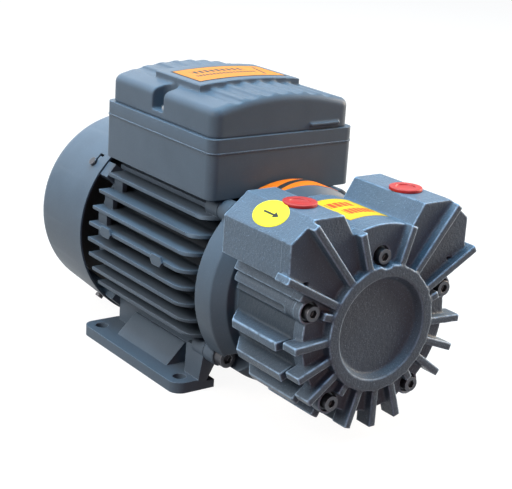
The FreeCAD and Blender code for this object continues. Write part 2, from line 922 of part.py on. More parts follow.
def build_drive_end_bell():
    """Turned casting between motor and pump that holds the front bearing and the shaft seal."""
    spigot = cell("stator_radius") - half_fit
    cavity = cell("bell_cavity_radius")
    cavity_floor = bell_rear - cell("bell_cavity_depth")
    body = turned(
        "drive_end_bell",
        [
            (bell_rear + cell("spigot_length"), cavity),
            (bell_rear + cell("spigot_length"), spigot),
            (bell_rear, spigot),
            (bell_rear, cell("bell_neck_radius")),
            (drum_rear, cell("bell_neck_radius")),
            (drum_rear, cell("bell_radius")),
            (drum_front, cell("bell_radius")),
            (groove_rear, cell("bell_front_radius")),
            (groove_rear, cell("bell_groove_radius")),
            (bell_front, cell("bell_groove_radius")),
            (bell_front, cell("side_plate_radius") + clear),
            (plate_rear, cell("side_plate_radius") + clear),
            (plate_rear, cell("seal_bore") + cell("shaft_play")),
            (seal_front, cell("seal_bore") + cell("shaft_play")),
            (seal_front, cell("seal_radius") + clear),
            (front_bearing_front, cell("seal_radius") + clear),
            (front_bearing_front, cell("front_bearing_radius") + clear),
            (front_bearing_rear, cell("front_bearing_radius") + clear),
            (front_bearing_rear, cell("bell_hub_radius")),
            (cavity_floor, cell("bell_hub_radius")),
            (cavity_floor, cavity),
        ],
    )
    lugs = new_sketch(body, "XZ", -bell_rear)
    holes = new_sketch(body, "XZ", -bell_rear)
    for angle in LUG_ANGLES:
        draw_circle(lugs, *on_circle(cell("lug_circle"), angle), cell("lug_radius"))
        draw_circle(holes, *on_circle(cell("lug_circle"), angle), cell("lug_bolt_radius") + clear)
    pad(body, lugs, cell("bell_lug_length"))
    pockets = new_sketch(body, "XZ", -bell_rear + cell("bell_lug_length"))
    pocket = cell("lug_bolt_head_radius") + cell("lug_pocket_gap")
    for angle in LUG_ANGLES:
        draw_circle(pockets, *on_circle(cell("lug_circle"), angle), pocket)
    cut(body, pockets, cell("pump_length"), along_normal=True)
    cut(body, holes, cell("bell_lug_length"), along_normal=True)
    screws = new_sketch(body, "XZ", -bell_front)
    for angle in JOINT_ANGLES:
        draw_circle(screws, *on_circle(cell("joint_screw_circle"), angle), cell("bolt_radius") + clear)
    cut(body, screws, cavity_floor - bell_front)
    dowels = new_sketch(body, "XZ", -bell_front)
    for side in (-1, 1):
        draw_circle(dowels, cell("dowel_circle") * side, 0, cell("dowel_radius") + clear)
    cut(body, dowels, cell("dowel_length") / 2)
    flatten_top(body, -bell_rear, cell("box_front") + bell_rear, backwards=False)
    return body


def flatten_top(body, start, length, backwards):
    """Level seat under the overhang of the terminal box, from a station given along -Y."""
    seat = new_sketch(body, "XZ", start)
    width, height = cell("bell_radius"), cell("box_seat") - slack
    draw_box(seat, -width, width, height, width + overlap)
    cut(body, seat, length + slack, along_normal=not backwards)


def build_bearing(name, rear, width, outer, bore):
    """Outer race, inner race and balls of a ball bearing, each a piece of its own."""
    front = rear - width
    groove = (outer + bore) / 2
    ball = (outer - bore - cell("race_wall") * 2) / 2
    ring(name + "_outer_race", rear, front, outer - cell("race_wall") + clear, outer)
    ring(name + "_inner_race", rear, front, bore + clear, bore + cell("race_wall") - clear)
    body = shaft_body(name + "_balls")
    sketch = new_sketch(body, "YZ")
    middle = rear - width / 2
    depth = ball - half_fit
    draw_half_disc(sketch, middle, groove, depth)
    feature = body.newObject("PartDesign::Revolution", body.Name + "_ball")
    feature.Profile = sketch
    feature.ReferenceAxis = (sketch, ["Axis0"])
    feature.Angle = FULL_TURN
    document.recompute()
    around = new_sketch(body, "XZ")
    draw_circle(around, 0, 0, 1)
    repeat(body, feature, around, DRIVING_SIZES["ball_count"])


def draw_half_disc(sketch, x, y, radius):
    """Half a disc above a horizontal diameter, with that diameter as a construction line."""
    x, y, radius = Size.of(x), Size.of(y), Size.of(radius)
    centre = FreeCAD.Vector(x.value, y.value, 0)
    arc = sketch.addGeometry(
        Part.ArcOfCircle(Part.Circle(centre, FreeCAD.Vector(0, 0, 1), radius.value), 0, math.pi),
        False,
    )
    left = centre - FreeCAD.Vector(radius.value, 0, 0)
    right = centre + FreeCAD.Vector(radius.value, 0, 0)
    chord = sketch.addGeometry(Part.LineSegment(left, right), False)
    axis = sketch.addGeometry(Part.LineSegment(left, right), True)
    sketch.addConstraint(Sketcher.Constraint("Coincident", arc, 2, chord, 1))
    sketch.addConstraint(Sketcher.Constraint("Coincident", chord, 2, arc, 1))
    sketch.addConstraint(Sketcher.Constraint("Coincident", axis, 1, chord, 1))
    sketch.addConstraint(Sketcher.Constraint("Coincident", axis, 2, chord, 2))
    pin(sketch, arc, 3, x, y)
    pin(sketch, arc, 1, x + radius, y)
    index = sketch.addConstraint(Sketcher.Constraint("DistanceY", -1, 1, arc, 2, y.value))
    bind(sketch, "Constraints[%d]" % index, y)


def build_rear_shield():
    """Rear bearing shield with four lugs, turned to the cowl's taper, that carry the fan cowl."""
    lug_reach = cowl_inner - slack
    count = DRIVING_SIZES["cowl_lug_count"]
    body = turned(
        "rear_end_shield",
        [
            (frame_rear - cell("spigot_length"), cell("stator_radius") - half_fit),
            (frame_rear, cell("stator_radius") - half_fit),
            (frame_rear, cell("shield_radius")),
            (frame_rear + cell("shield_thickness"), cell("shield_radius")),
            (frame_rear + cell("shield_thickness"), cell("shield_hub_radius")),
            (shield_end, cell("shield_hub_radius")),
            (shield_end, cell("shield_lip_radius")),
            (shield_end - cell("shield_lip"), cell("shield_lip_radius")),
            (shield_end - cell("shield_lip"), cell("rear_bearing_radius") + clear),
            (frame_rear, cell("rear_bearing_radius") + clear),
            (frame_rear, cell("bell_cavity_radius")),
            (frame_rear - cell("spigot_length"), cell("bell_cavity_radius")),
        ],
    )
    foot = new_sketch(body, "XZ", -frame_rear - cell("shield_thickness"))
    angle, width = cell("cowl_lug_angle"), cell("cowl_lug_width")
    draw_outline(foot, ray_box(cell("shield_radius") - width / 2, lug_reach, width, angle))
    repeat(body, pad(body, foot, cell("shield_thickness")), foot, count)
    arm = new_sketch(body, "XZ", -frame_rear - cell("cowl_lug_length"))
    draw_outline(arm, ray_box(lug_reach - cell("cowl_lug_depth"), lug_reach, width, angle))
    repeat(body, pad(body, arm, cell("cowl_lug_length")), arm, count)
    taper = new_sketch(body, "YZ")
    start, end = cowl_front - slack, frame_rear + cell("cowl_lug_length") + overlap
    shrunk = lug_reach - cell("cowl_taper") * (end - start) / cowl_flare
    beyond = lug_reach + overlap
    draw_outline(taper, [(start, lug_reach), (end, shrunk), (end, beyond), (start, beyond)])
    turn_away(body, taper)
    taps = radial_sketch(body, angle, lug_reach - cell("cowl_lug_depth") - overlap)
    draw_circle(taps, cowl_front + cell("cowl_screw_station"), 0, cell("cowl_screw_radius") + clear)
    repeat(body, cut(body, taps, cell("cowl_lug_depth") * 2, along_normal=True), arm, count)
    holes = new_sketch(body, "XZ", -frame_rear)
    for at in SHIELD_ANGLES:
        centre = on_circle(cell("shield_screw_circle"), at)
        draw_circle(holes, *centre, cell("shield_screw_radius") + clear)
    cut(body, holes, cell("shield_thickness"))
    flatten_top(body, -frame_rear, cell("box_rear") - frame_rear, backwards=True)
    return body


def radial_sketch(body, angle, radius):
    """A sketch that faces outwards from the shaft at an angle from +X; its x runs along Y."""
    sketch = new_sketch(body, "YZ", radius * cosine(angle))
    bind(sketch, "AttachmentOffset.Base.y", radius * sine(angle))
    turn = FreeCAD.Rotation(FreeCAD.Vector(1, 0, 0), -Size.of(angle).value)
    sketch.AttachmentOffset = FreeCAD.Placement(sketch.AttachmentOffset.Base, turn)
    bind(sketch, "AttachmentOffset.Base.z", radius * cosine(angle))
    return sketch


def build_bearings():
    bore, wall = cell("front_bearing_bore"), cell("front_bearing_width")
    build_bearing("front_bearing", front_bearing_rear, wall, cell("front_bearing_radius"), bore)
    bore, wall = cell("rear_bearing_bore"), cell("rear_bearing_width")
    build_bearing("rear_bearing", rear_bearing_rear, wall, cell("rear_bearing_radius"), bore)
    rear = rear_bearing_rear + cell("spring_thickness")
    outer = cell("rear_bearing_radius") - clear
    ring("preload_spring", rear, rear_bearing_rear, outer - cell("race_wall"), outer)
    seal_rear = seal_front + cell("seal_width")
    ring("shaft_seal", seal_rear, seal_front, cell("seal_bore") + half_fit, cell("seal_radius"))


def build_fan_cowl():
    """Pressed fan cowl with a slotted air inlet in its rear face."""
    wall, corner, tail = cell("cowl_wall"), cell("cowl_corner"), cowl_tail
    body = turned(
        "fan_cowl",
        [
            (cowl_front, cowl_inner),
            (cowl_front, cell("cowl_radius")),
            (cowl_end - corner, tail, -corner),
            (cowl_end, tail - corner),
            (cowl_end, 0),
            (cowl_end - wall, 0),
            (cowl_end - wall, tail - corner, corner - wall),
            (cowl_end - corner, tail - wall),
        ],
    )
    slots = new_sketch(body, "XZ", -cowl_end)
    count = DRIVING_SIZES["grille_ring_count"]
    span = tail - corner - cell("grille_margin") - cell("grille_ring_width")
    pitch = (span - cell("grille_first_radius")) / (count - 1)
    for rank in range(count):
        inner = cell("grille_first_radius") + pitch * rank
        draw_circle(slots, 0, 0, inner)
        draw_circle(slots, 0, 0, inner + cell("grille_ring_width"))
    cut(body, slots, wall * 2, along_normal=True)
    bars = new_sketch(body, "XZ", -cowl_end)
    last = inner + cell("grille_ring_width") + wall / 2
    draw_outline(bars, ray_box(cell("grille_first_radius") - wall, last, cell("grille_bar_width"), 0))
    repeat(body, pad(body, bars, wall), bars, DRIVING_SIZES["grille_bar_count"])
    count = DRIVING_SIZES["cowl_lug_count"]
    holes = radial_sketch(body, cell("cowl_lug_angle"), cowl_inner - cell("cowl_corner"))
    draw_circle(holes, cowl_front + cell("cowl_screw_station"), 0, cell("cowl_screw_radius") + clear)
    repeat(body, cut(body, holes, cell("cowl_corner") * 2, along_normal=True), bars, count)
    station = cowl_front + cell("cowl_screw_station")
    half = cell("cowl_slot_width") / 2
    slot = radial_sketch(body, cell("cowl_lug_angle"), cowl_inner - cell("cowl_corner"))
    top, hook = -cell("cowl_slot_top"), station - cell("cowl_slot_hook")
    draw_outline(
        slot,
        [
            (station + half, cell("cowl_slot_drop")),
            (station + half, top),
            (hook, top),
            (hook, top + half * 2),
            (station - half, top + half * 2),
            (station - half, cell("cowl_slot_drop")),
        ],
    )
    repeat(body, cut(body, slot, cell("cowl_corner") * 2, along_normal=True), bars, count)
    return body


def build_cowl_screws():
    """Four radial screws through the cowl into the shield's lugs."""
    body = shaft_body("cowl_screws")
    station = cowl_front + cell("cowl_screw_station")
    shrink = cell("cowl_taper") * cell("cowl_screw_station") / cell("cowl_length")
    surface = cell("cowl_radius") - shrink + slack
    heads = radial_sketch(body, cell("cowl_lug_angle"), surface)
    draw_circle(heads, station, 0, cell("cowl_screw_head_radius"))
    shanks = radial_sketch(body, cell("cowl_lug_angle"), surface)
    draw_circle(shanks, station, 0, cell("cowl_screw_radius"))
    around = new_sketch(body, "XZ")
    draw_circle(around, 0, 0, 1)
    head = pad(body, heads, cell("cowl_screw_head_height"))
    repeat(body, head, around, DRIVING_SIZES["cowl_lug_count"])
    shank = pad(body, shanks, cell("cowl_screw_length"), backwards=True)
    repeat(body, shank, around, DRIVING_SIZES["cowl_lug_count"])
    return body


def build_fan():
    """Radial-blade fan and the clip that holds it on the shaft's tail."""
    bore = cell("fan_seat_radius") + clear
    disc_rear = fan_start + cell("fan_disc_thickness")
    body = turned(
        "cooling_fan",
        [
            (fan_start, bore),
            (fan_start, fan_radius),
            (disc_rear, fan_radius),
            (disc_rear, cell("fan_hub_radius")),
            (fan_end, cell("fan_hub_radius")),
            (fan_end, bore),
        ],
    )
    blade = new_sketch(body, "XZ", -disc_rear)
    thickness = cell("fan_blade_thickness")
    draw_outline(blade, ray_box(cell("fan_hub_radius") - overlap, fan_radius, thickness, 0))
    feature = pad(body, blade, cell("fan_blade_depth"), backwards=True)
    repeat(body, feature, blade, DRIVING_SIZES["fan_blade_count"])
    ring("fan_clip", fan_end + cell("fan_clip_thickness"), fan_end, bore, cell("fan_clip_radius"))


def build_motor_inside():
    """Laminated stator with its end windings, and the squirrel-cage rotor."""
    outer = cell("stator_radius") - clear
    ring("stator_core", core_rear, core_front, cell("stator_bore"), outer)
    body = shaft_body("stator_windings")
    sketch = new_sketch(body, "YZ")
    rounding = [cell("winding_round")] * 4
    inner, outer = cell("winding_inner"), cell("winding_outer")
    overhang = cell("winding_overhang")
    draw_rounded_box(sketch, core_rear, core_rear + overhang, inner, outer, rounding)
    draw_rounded_box(sketch, core_front - overhang, core_front, inner, outer, rounding)
    feature = body.newObject("PartDesign::Revolution", "stator_windings_turning")
    feature.Profile = sketch
    feature.ReferenceAxis = (sketch, ["H_Axis"])
    feature.Angle = FULL_TURN
    document.recompute()
    core = cell("stator_bore") - cell("air_gap")
    seat = cell("core_seat_radius") + clear
    ring("rotor_core", core_rear, core_front, seat, core)
    cage = shaft_body("rotor_cage")
    rings = new_sketch(cage, "XZ", -core_rear - cell("cage_ring_length"))
    far_rings = new_sketch(cage, "XZ", -core_front)
    for target in (rings, far_rings):
        draw_circle(target, 0, 0, cell("cage_ring_inner"))
        draw_circle(target, 0, 0, core - cell("cage_bridge"))
    pad(cage, rings, cell("cage_ring_length"))
    pad(cage, far_rings, cell("cage_ring_length"))


def build_motor_shaft():
    """Stepped shaft from the pump rotor to the fan, with a keyway and a tapped end."""
    end = rotor_recess_floor + cell("shaft_end_gap")
    seat, land = cell("rotor_bore"), cell("seal_bore")
    front_bore, rear_bore = cell("front_bearing_bore"), cell("rear_bearing_bore")
    body = turned(
        "motor_shaft",
        [
            (end, 0),
            (end, seat),
            (rotor_rear, seat),
            (rotor_rear, land),
            (front_bearing_front, land),
            (front_bearing_front, front_bore),
            (front_bearing_rear, front_bore),
            (front_bearing_rear, cell("core_seat_radius")),
            (frame_rear, cell("core_seat_radius")),
            (frame_rear, rear_bore),
            (fan_start, rear_bore),
            (fan_start, cell("fan_seat_radius")),
            (shaft_end, cell("fan_seat_radius")),
            (shaft_end, 0),
        ],
    )
    tap = new_sketch(body, "XZ", -end)
    draw_circle(tap, 0, 0, cell("rotor_screw_radius") + clear)
    cut(body, tap, cell("rotor_screw_length") + overlap)
    way = new_sketch(body, "XY", seat + clear)
    half = cell("key_width") / 2 + clear
    draw_box(way, -half, half, key_front - clear, key_rear + clear)
    cut(body, way, cell("key_height") / 2 + slack)
    return body


def build_pump_rotor():
    """Slotted rotor keyed to the shaft and clamped by a screw and washer in its nose."""
    body = shaft_body("pump_rotor")
    disc = new_sketch(body, "XZ", -rotor_rear)
    draw_circle(disc, 0, 0, cell("rotor_radius"))
    draw_circle(disc, 0, 0, cell("rotor_bore") + clear)
    length = rotor_rear - rotor_front
    pad(body, disc, length)
    slots = new_sketch(body, "XZ", -rotor_front)
    for angle in slot_angles():
        floor = cell("rotor_radius") - cell("slot_depth")
        beyond = cell("rotor_radius") + cell("slot_width")
        draw_outline(slots, ray_box(floor, beyond, cell("slot_width"), angle))
    cut(body, slots, length)
    recess = new_sketch(body, "XZ", -rotor_front)
    draw_circle(recess, 0, 0, cell("rotor_recess_radius"))
    cut(body, recess, cell("rotor_recess_depth"))
    way = new_sketch(body, "XZ", -rotor_rear)
    half = cell("key_width") / 2 + clear
    draw_box(way, -half, half, 0, cell("rotor_bore") + cell("key_height") / 2 + clear)
    cut(body, way, key_length_in_rotor + clear, along_normal=True)
    key = document.addObject("Part::Box", "rotor_key")
    key.Label = "rotor_key"
    bind(key, "Length", cell("key_width"))
    bind(key, "Width", cell("key_length"))
    bind(key, "Height", cell("key_height"))
    low = cell("shaft_height") + cell("rotor_bore") - cell("key_height") / 2
    place(key, -cell("key_width") / 2, key_front, low)
    face = rotor_recess_floor - cell("rotor_washer_thickness")
    outer = cell("rotor_recess_radius") - slack
    ring("rotor_washer", rotor_recess_floor, face, cell("rotor_screw_radius") + clear, outer)
    socket_screws(
        "rotor_screw",
        [(0, 0)],
        face,
        cell("rotor_screw_head_radius"),
        cell("rotor_screw_head_height"),
        cell("rotor_screw_radius"),
        cell("rotor_screw_length"),
    )


def slot_angles():
    count = DRIVING_SIZES["slot_count"]
    return [DRIVING_SIZES["slot_first_angle"] + FULL_TURN / count * turn for turn in range(count)]


def build_vanes():
    """Carbon vanes, each drawn back flush into its slot."""
    top = cell("rotor_radius") - cell("vane_drawback")
    thickness = cell("slot_width") - cell("vane_clearance") * 2
    for number, angle in enumerate(slot_angles(), start=1):
        body = shaft_body("vane_%d" % number)
        sketch = new_sketch(body, "XZ", -rotor_rear)
        draw_outline(sketch, ray_box(top - cell("vane_height"), top, thickness, angle))
        pad(body, sketch, rotor_rear - rotor_front)


def block_corners(side):
    """Outline of one port block, on the side of the sign given, from the shaft axis."""
    corners = (
        ("port_inner", "port_top"),
        ("port_outer", "port_top"),
        ("port_side", "port_shoulder"),
        ("port_side", "port_bottom"),
        ("port_position", "port_bottom"),
        ("port_foot_inner", "port_foot_height"),
    )
    return [(cell(x) * side, cell(z)) for x, z in corners]


def add_pump_section(body, station, length, boss_radius):
    """Barrel, top saddle, both port blocks and the bolt bosses between two stations."""
    saddle = cell("saddle_radius")
    angle = cell("saddle_angle")
    outlines = [new_sketch(body, "XZ", -station) for layer in range(4)]
    draw_circle(outlines[0], 0, 0, cell("barrel_radius"))
    right, left = on_circle(saddle, angle), on_circle(saddle, 180 - angle)
    draw_outline(outlines[1], [right + (saddle,), left])
    for side in (-1, 1):
        draw_outline(outlines[2], block_corners(side))
    for x, z in cover_bolt_centres()[:4]:
        draw_circle(outlines[3], x, z, boss_radius)
    for sketch in outlines:
        pad(body, sketch, length)


def build_pump_cylinder():
    """Finned cylinder casting with the offset chamber and the two port blocks."""
    body = shaft_body("pump_cylinder")
    fins = new_sketch(body, "XZ", -bell_front + cell("cylinder_fin_rear_gap"))
    root = cell("barrel_radius") - overlap
    tip = cell("cylinder_fin_tip")
    core = new_sketch(body, "XZ", -bell_front)
    draw_circle(core, 0, 0, cell("barrel_radius"))
    pad(body, core, cell("pump_length"))
    for rank in range(DRIVING_SIZES["cylinder_fin_count"]):
        below = cell("cylinder_fin_first") + cell("cylinder_fin_step") * rank
        for angle in (-below, below - FULL_TURN / 2):
            draw_outline(fins, ray_box(root, tip, cell("cylinder_fin_thickness"), angle))
    gaps = cell("cylinder_fin_rear_gap") + cell("cylinder_fin_front_gap")
    pad(body, fins, cell("pump_length") - gaps)
    slopes = new_sketch(body, "YZ")
    over = tip + overlap
    base = cell("barrel_radius")
    setback = cell("cylinder_fin_setback")
    draw_outline(slopes, [(bell_front, base), (bell_front - setback, over), (bell_front, over)])
    turn_away(body, slopes)
    add_pump_section(body, bell_front, cell("pump_length"), cell("boss_radius"))
    grooves = new_sketch(body, "XZ", -bell_front)
    for angle in (cell("boss_groove_angle"), FULL_TURN / 2 - cell("boss_groove_angle")):
        sides = ray_box(cell("boss_groove_floor"), over, cell("boss_groove_width"), angle)
        draw_outline(grooves, sides)
    cut(body, grooves, cell("pump_length") - cell("boss_groove_end"), along_normal=True)
    chamber = new_sketch(body, "XZ", -cylinder_front)
    draw_circle(chamber, 0, -cell("chamber_offset"), cell("chamber_radius"))
    cut(body, chamber, cell("pump_length"))
    taps = new_sketch(body, "XZ", -cylinder_front)
    for x, z in cover_bolt_centres():
        draw_circle(taps, x, z, cell("bolt_radius") + clear)
    cut(body, taps, cell("bolt_length"))
    joints = new_sketch(body, "XZ", -bell_front)
    for angle in JOINT_ANGLES:
        centre = on_circle(cell("joint_screw_circle"), angle)
        draw_circle(joints, *centre, cell("bolt_radius") + clear)
    cut(body, joints, cell("joint_screw_length") / 2, along_normal=True)
    dowels = new_sketch(body, "XZ", -bell_front)
    for side in (-1, 1):
        draw_circle(dowels, cell("dowel_circle") * side, 0, cell("dowel_radius") + clear)
    cut(body, dowels, cell("dowel_length") / 2, along_normal=True)
    add_ports(body)
    return body


def add_ports(body):
    """Tapped ports in the blocks, each with a duct down and inwards to the chamber."""
    ports = new_sketch(body, "XY", cell("port_top"))
    ducts = new_sketch(body, "XY", cell("port_top"))
    for side in (-1, 1):
        centre = (cell("port_position") * side, -cell("port_station"))
        draw_circle(ports, *centre, cell("port_bore"))
        draw_circle(ducts, *centre, cell("duct_radius"))
    cut(body, ports, cell("port_depth"))
    cut(body, ducts, cell("port_top") - cell("duct_height"))
    for side in (-1, 1):
        across = new_sketch(body, "YZ", cell("port_position") * side)
        draw_circle(across, -cell("port_station"), cell("duct_height"), cell("duct_radius"))
        cut(body, across, cell("duct_reach"), along_normal=side < 0)


def plain_fin_angles():
    """Angles below the shaft's level that hold a fin and no bolt, counted from +X."""
    ranks = ("first", "second", "third", "fourth")
    right = [-cell(rank + "_fin_angle") for rank in ranks]
    left = [-FULL_TURN / 2 - angle for angle in right]
    return right + [-FULL_TURN / 4] + left


def build_pump_end_cover():
    """Cover with a raised ring, radial cooling fins and sunk bolt seats."""
    body = shaft_body("pump_end_cover")
    plate = cell("cover_plate_thickness")
    add_pump_section(body, cover_back, plate, cell("cover_boss_radius"))
    collar = new_sketch(body, "XZ", -cover_face)
    draw_circle(collar, 0, 0, cell("ring_outer"))
    pad(body, collar, cell("ring_height"))
    fins = new_sketch(body, "XZ", -cover_back)
    step = cell("fin_step_angle")
    root = (cell("ring_inner") + cell("ring_outer")) / 2
    around = plain_fin_angles() + [step * turn for turn in (4, 6)]
    rays = [(angle, cell("cover_fin_tip")) for angle in around]
    for angle, tip in (("corner_fin_angle", "corner_fin_tip"), ("side_fin_angle", "side_fin_tip")):
        rays += [(cell(angle), cell(tip)), (180 - cell(angle), cell(tip))]
    rays += [(step * turn, cell("stub_tip")) for turn in (1, 9, 13, 17)]
    for angle, tip in rays:
        draw_outline(fins, ray_box(root, tip, cell("cover_fin_thickness"), angle))
    pad(body, fins, plate + cell("ring_height") - cell("cover_fin_drop"))
    dish = new_sketch(body, "YZ")
    floor = ring_face + cell("recess_depth")
    rim = [(ring_face, 0), (ring_face, cell("ring_inner"))]
    draw_outline(dish, rim + [(floor, cell("recess_floor_radius")), (floor, 0)])
    turn_away(body, dish)
    seats = new_sketch(body, "XZ", -ring_face)
    holes = new_sketch(body, "XZ", -ring_face)
    for x, z in cover_bolt_centres():
        draw_circle(seats, x, z, cell("washer_radius") + cell("washer_play"))
        draw_circle(holes, x, z, cell("bolt_radius") + clear)
    cut(body, seats, cell("ring_height") + cell("cover_boss_depth"))
    cut(body, holes, plate + cell("ring_height"))
    return body


def build_cover_gasket():
    body = shaft_body("cover_gasket")
    add_pump_section(body, cylinder_front, cell("cover_gasket_thickness"), cell("boss_radius"))
    openings = new_sketch(body, "XZ", -cover_back)
    draw_circle(openings, 0, -cell("chamber_offset"), cell("chamber_radius"))
    for x, z in cover_bolt_centres():
        draw_circle(openings, x, z, cell("bolt_radius") + clear)
    cut(body, openings, cell("cover_gasket_thickness"))
    return body


def build_pump_fasteners():
    """Cover bolts and washers, lug bolts, joint screws, dowels and the side plate."""
    head = (cell("bolt_head_radius"), cell("bolt_head_height"), cell("bolt_radius"))
    seat = cover_face + cell("cover_boss_depth")
    washer_face = seat - cell("washer_thickness")
    centres = cover_bolt_centres()
    socket_screws("cover_bolts", centres, washer_face, *head, cell("bolt_length"))
    washers = shaft_body("cover_washers")
    sketch = new_sketch(washers, "XZ", -seat)
    for x, z in centres:
        draw_circle(sketch, x, z, cell("washer_radius"))
        draw_circle(sketch, x, z, cell("bolt_radius") + clear)
    pad(washers, sketch, cell("washer_thickness"))
    lugs = [on_circle(cell("lug_circle"), angle) for angle in LUG_ANGLES]
    lug_face = bell_rear - cell("bell_lug_length")
    length = cell("bell_lug_length") + cell("frame_lug_length") - overlap
    lug_sizes = ("lug_bolt_head_radius", "lug_bolt_head_height", "lug_bolt_radius")
    socket_screws("bell_bolts", lugs, lug_face, *map(cell, lug_sizes), length)
    joints = [on_circle(cell("joint_screw_circle"), angle) for angle in JOINT_ANGLES]
    body = shaft_body("joint_screws")
    floor = bell_rear - cell("bell_cavity_depth")
    heads, shanks = new_sketch(body, "XZ", -floor), new_sketch(body, "XZ", -floor)
    for x, z in joints:
        draw_circle(heads, x, z, cell("joint_screw_head_radius"))
        draw_circle(shanks, x, z, cell("bolt_radius"))
    pad(body, heads, cell("bolt_head_height"), backwards=True)
    pad(body, shanks, cell("joint_screw_length"))
    dowels = shaft_body("dowel_pins")
    pins = new_sketch(dowels, "XZ", -bell_front - cell("dowel_length") / 2 + clear)
    for side in (-1, 1):
        draw_circle(pins, cell("dowel_circle") * side, 0, cell("dowel_radius"))
    pad(dowels, pins, cell("dowel_length") - clear * 2)
    bore = cell("seal_bore") + cell("shaft_play")
    ring("pump_side_plate", plate_rear, bell_front, bore, cell("side_plate_radius"))


def build_shield_screws():
    body = shaft_body("shield_screws")
    face = frame_rear + cell("shield_thickness")
    heads, shanks = new_sketch(body, "XZ", -face), new_sketch(body, "XZ", -face)
    for angle in SHIELD_ANGLES:
        centre = on_circle(cell("shield_screw_circle"), angle)
        draw_circle(heads, *centre, cell("shield_screw_head_radius"))
        draw_circle(shanks, *centre, cell("shield_screw_radius"))
    pad(body, heads, cell("shield_screw_head_height"), backwards=True)
    pad(body, shanks, cell("shield_screw_length"))


def build_terminal_box_base():
    """Open-topped box on the frame's pad, with an inward flange that the lid stands on."""
    body = new_body("terminal_box_base")
    half, front, rear = cell("box_half_width"), cell("box_front"), cell("box_rear")
    bottom, rim, wall = box_bottom, box_rim, cell("box_wall")
    flange = cell("box_flange_thickness")
    corner = [cell("box_corner")] * 4
    outer = new_sketch(body, "XY", bottom)
    draw_rounded_box(outer, -half, half, -front, rear, corner)
    pad(body, outer, rim - bottom)
    ridge = new_sketch(body, "XY", gland_height + cell("gland_hex_radius") + slack)
    proud = cell("box_ridge_depth")
    corner = [cell("box_corner") + proud] * 4
    draw_rounded_box(ridge, -half - proud, half + proud, -front - proud, rear + proud, corner)
    pad(body, ridge, cell("box_ridge_width"))
    cavity = new_sketch(body, "XY", rim - flange)
    inner = [cell("box_corner") - wall] * 4
    draw_rounded_box(cavity, wall - half, half - wall, wall - front, rear - wall, inner)
    cut(body, cavity, rim - flange - bottom - cell("box_floor"))
    mouth = new_sketch(body, "XY", rim)
    inset = wall + cell("box_flange_width")
    draw_rounded_box(mouth, inset - half, half - inset, inset - front, rear - inset, inner)
    cut(body, mouth, flange)
    columns = new_sketch(body, "XY", rim)
    for side in (-1, 1):
        near, far = lid_screw_x - cell("lid_column_reach"), half - wall / 2
        left, right = (near, far) if side > 0 else (-far, -near)
        spread = cell("lid_column_half")
        draw_box(columns, left, right, notch_station - spread, notch_station + spread)
    pad(body, columns, cell("lid_screw_length") + cell("lid_column_floor"), backwards=True)
    taps = new_sketch(body, "XY", rim)
    for side in (-1, 1):
        draw_circle(taps, lid_screw_x * side, notch_station, cell("lid_screw_radius") + clear)
    cut(body, taps, cell("lid_screw_length"))
    floor = new_sketch(body, "XY", bottom + cell("box_floor"))
    draw_circle(floor, 0, 0, cell("cable_hole_radius"))
    for x, y in box_screw_centres():
        draw_circle(floor, x, y, cell("box_screw_radius") + clear)
    cut(body, floor, cell("box_floor"))
    entry = new_sketch(body, "YZ", half)
    radius = cell("gland_thread_radius") + clear
    draw_circle(entry, cell("gland_station"), gland_height, radius)
    cut(body, entry, wall * 2)
    return body


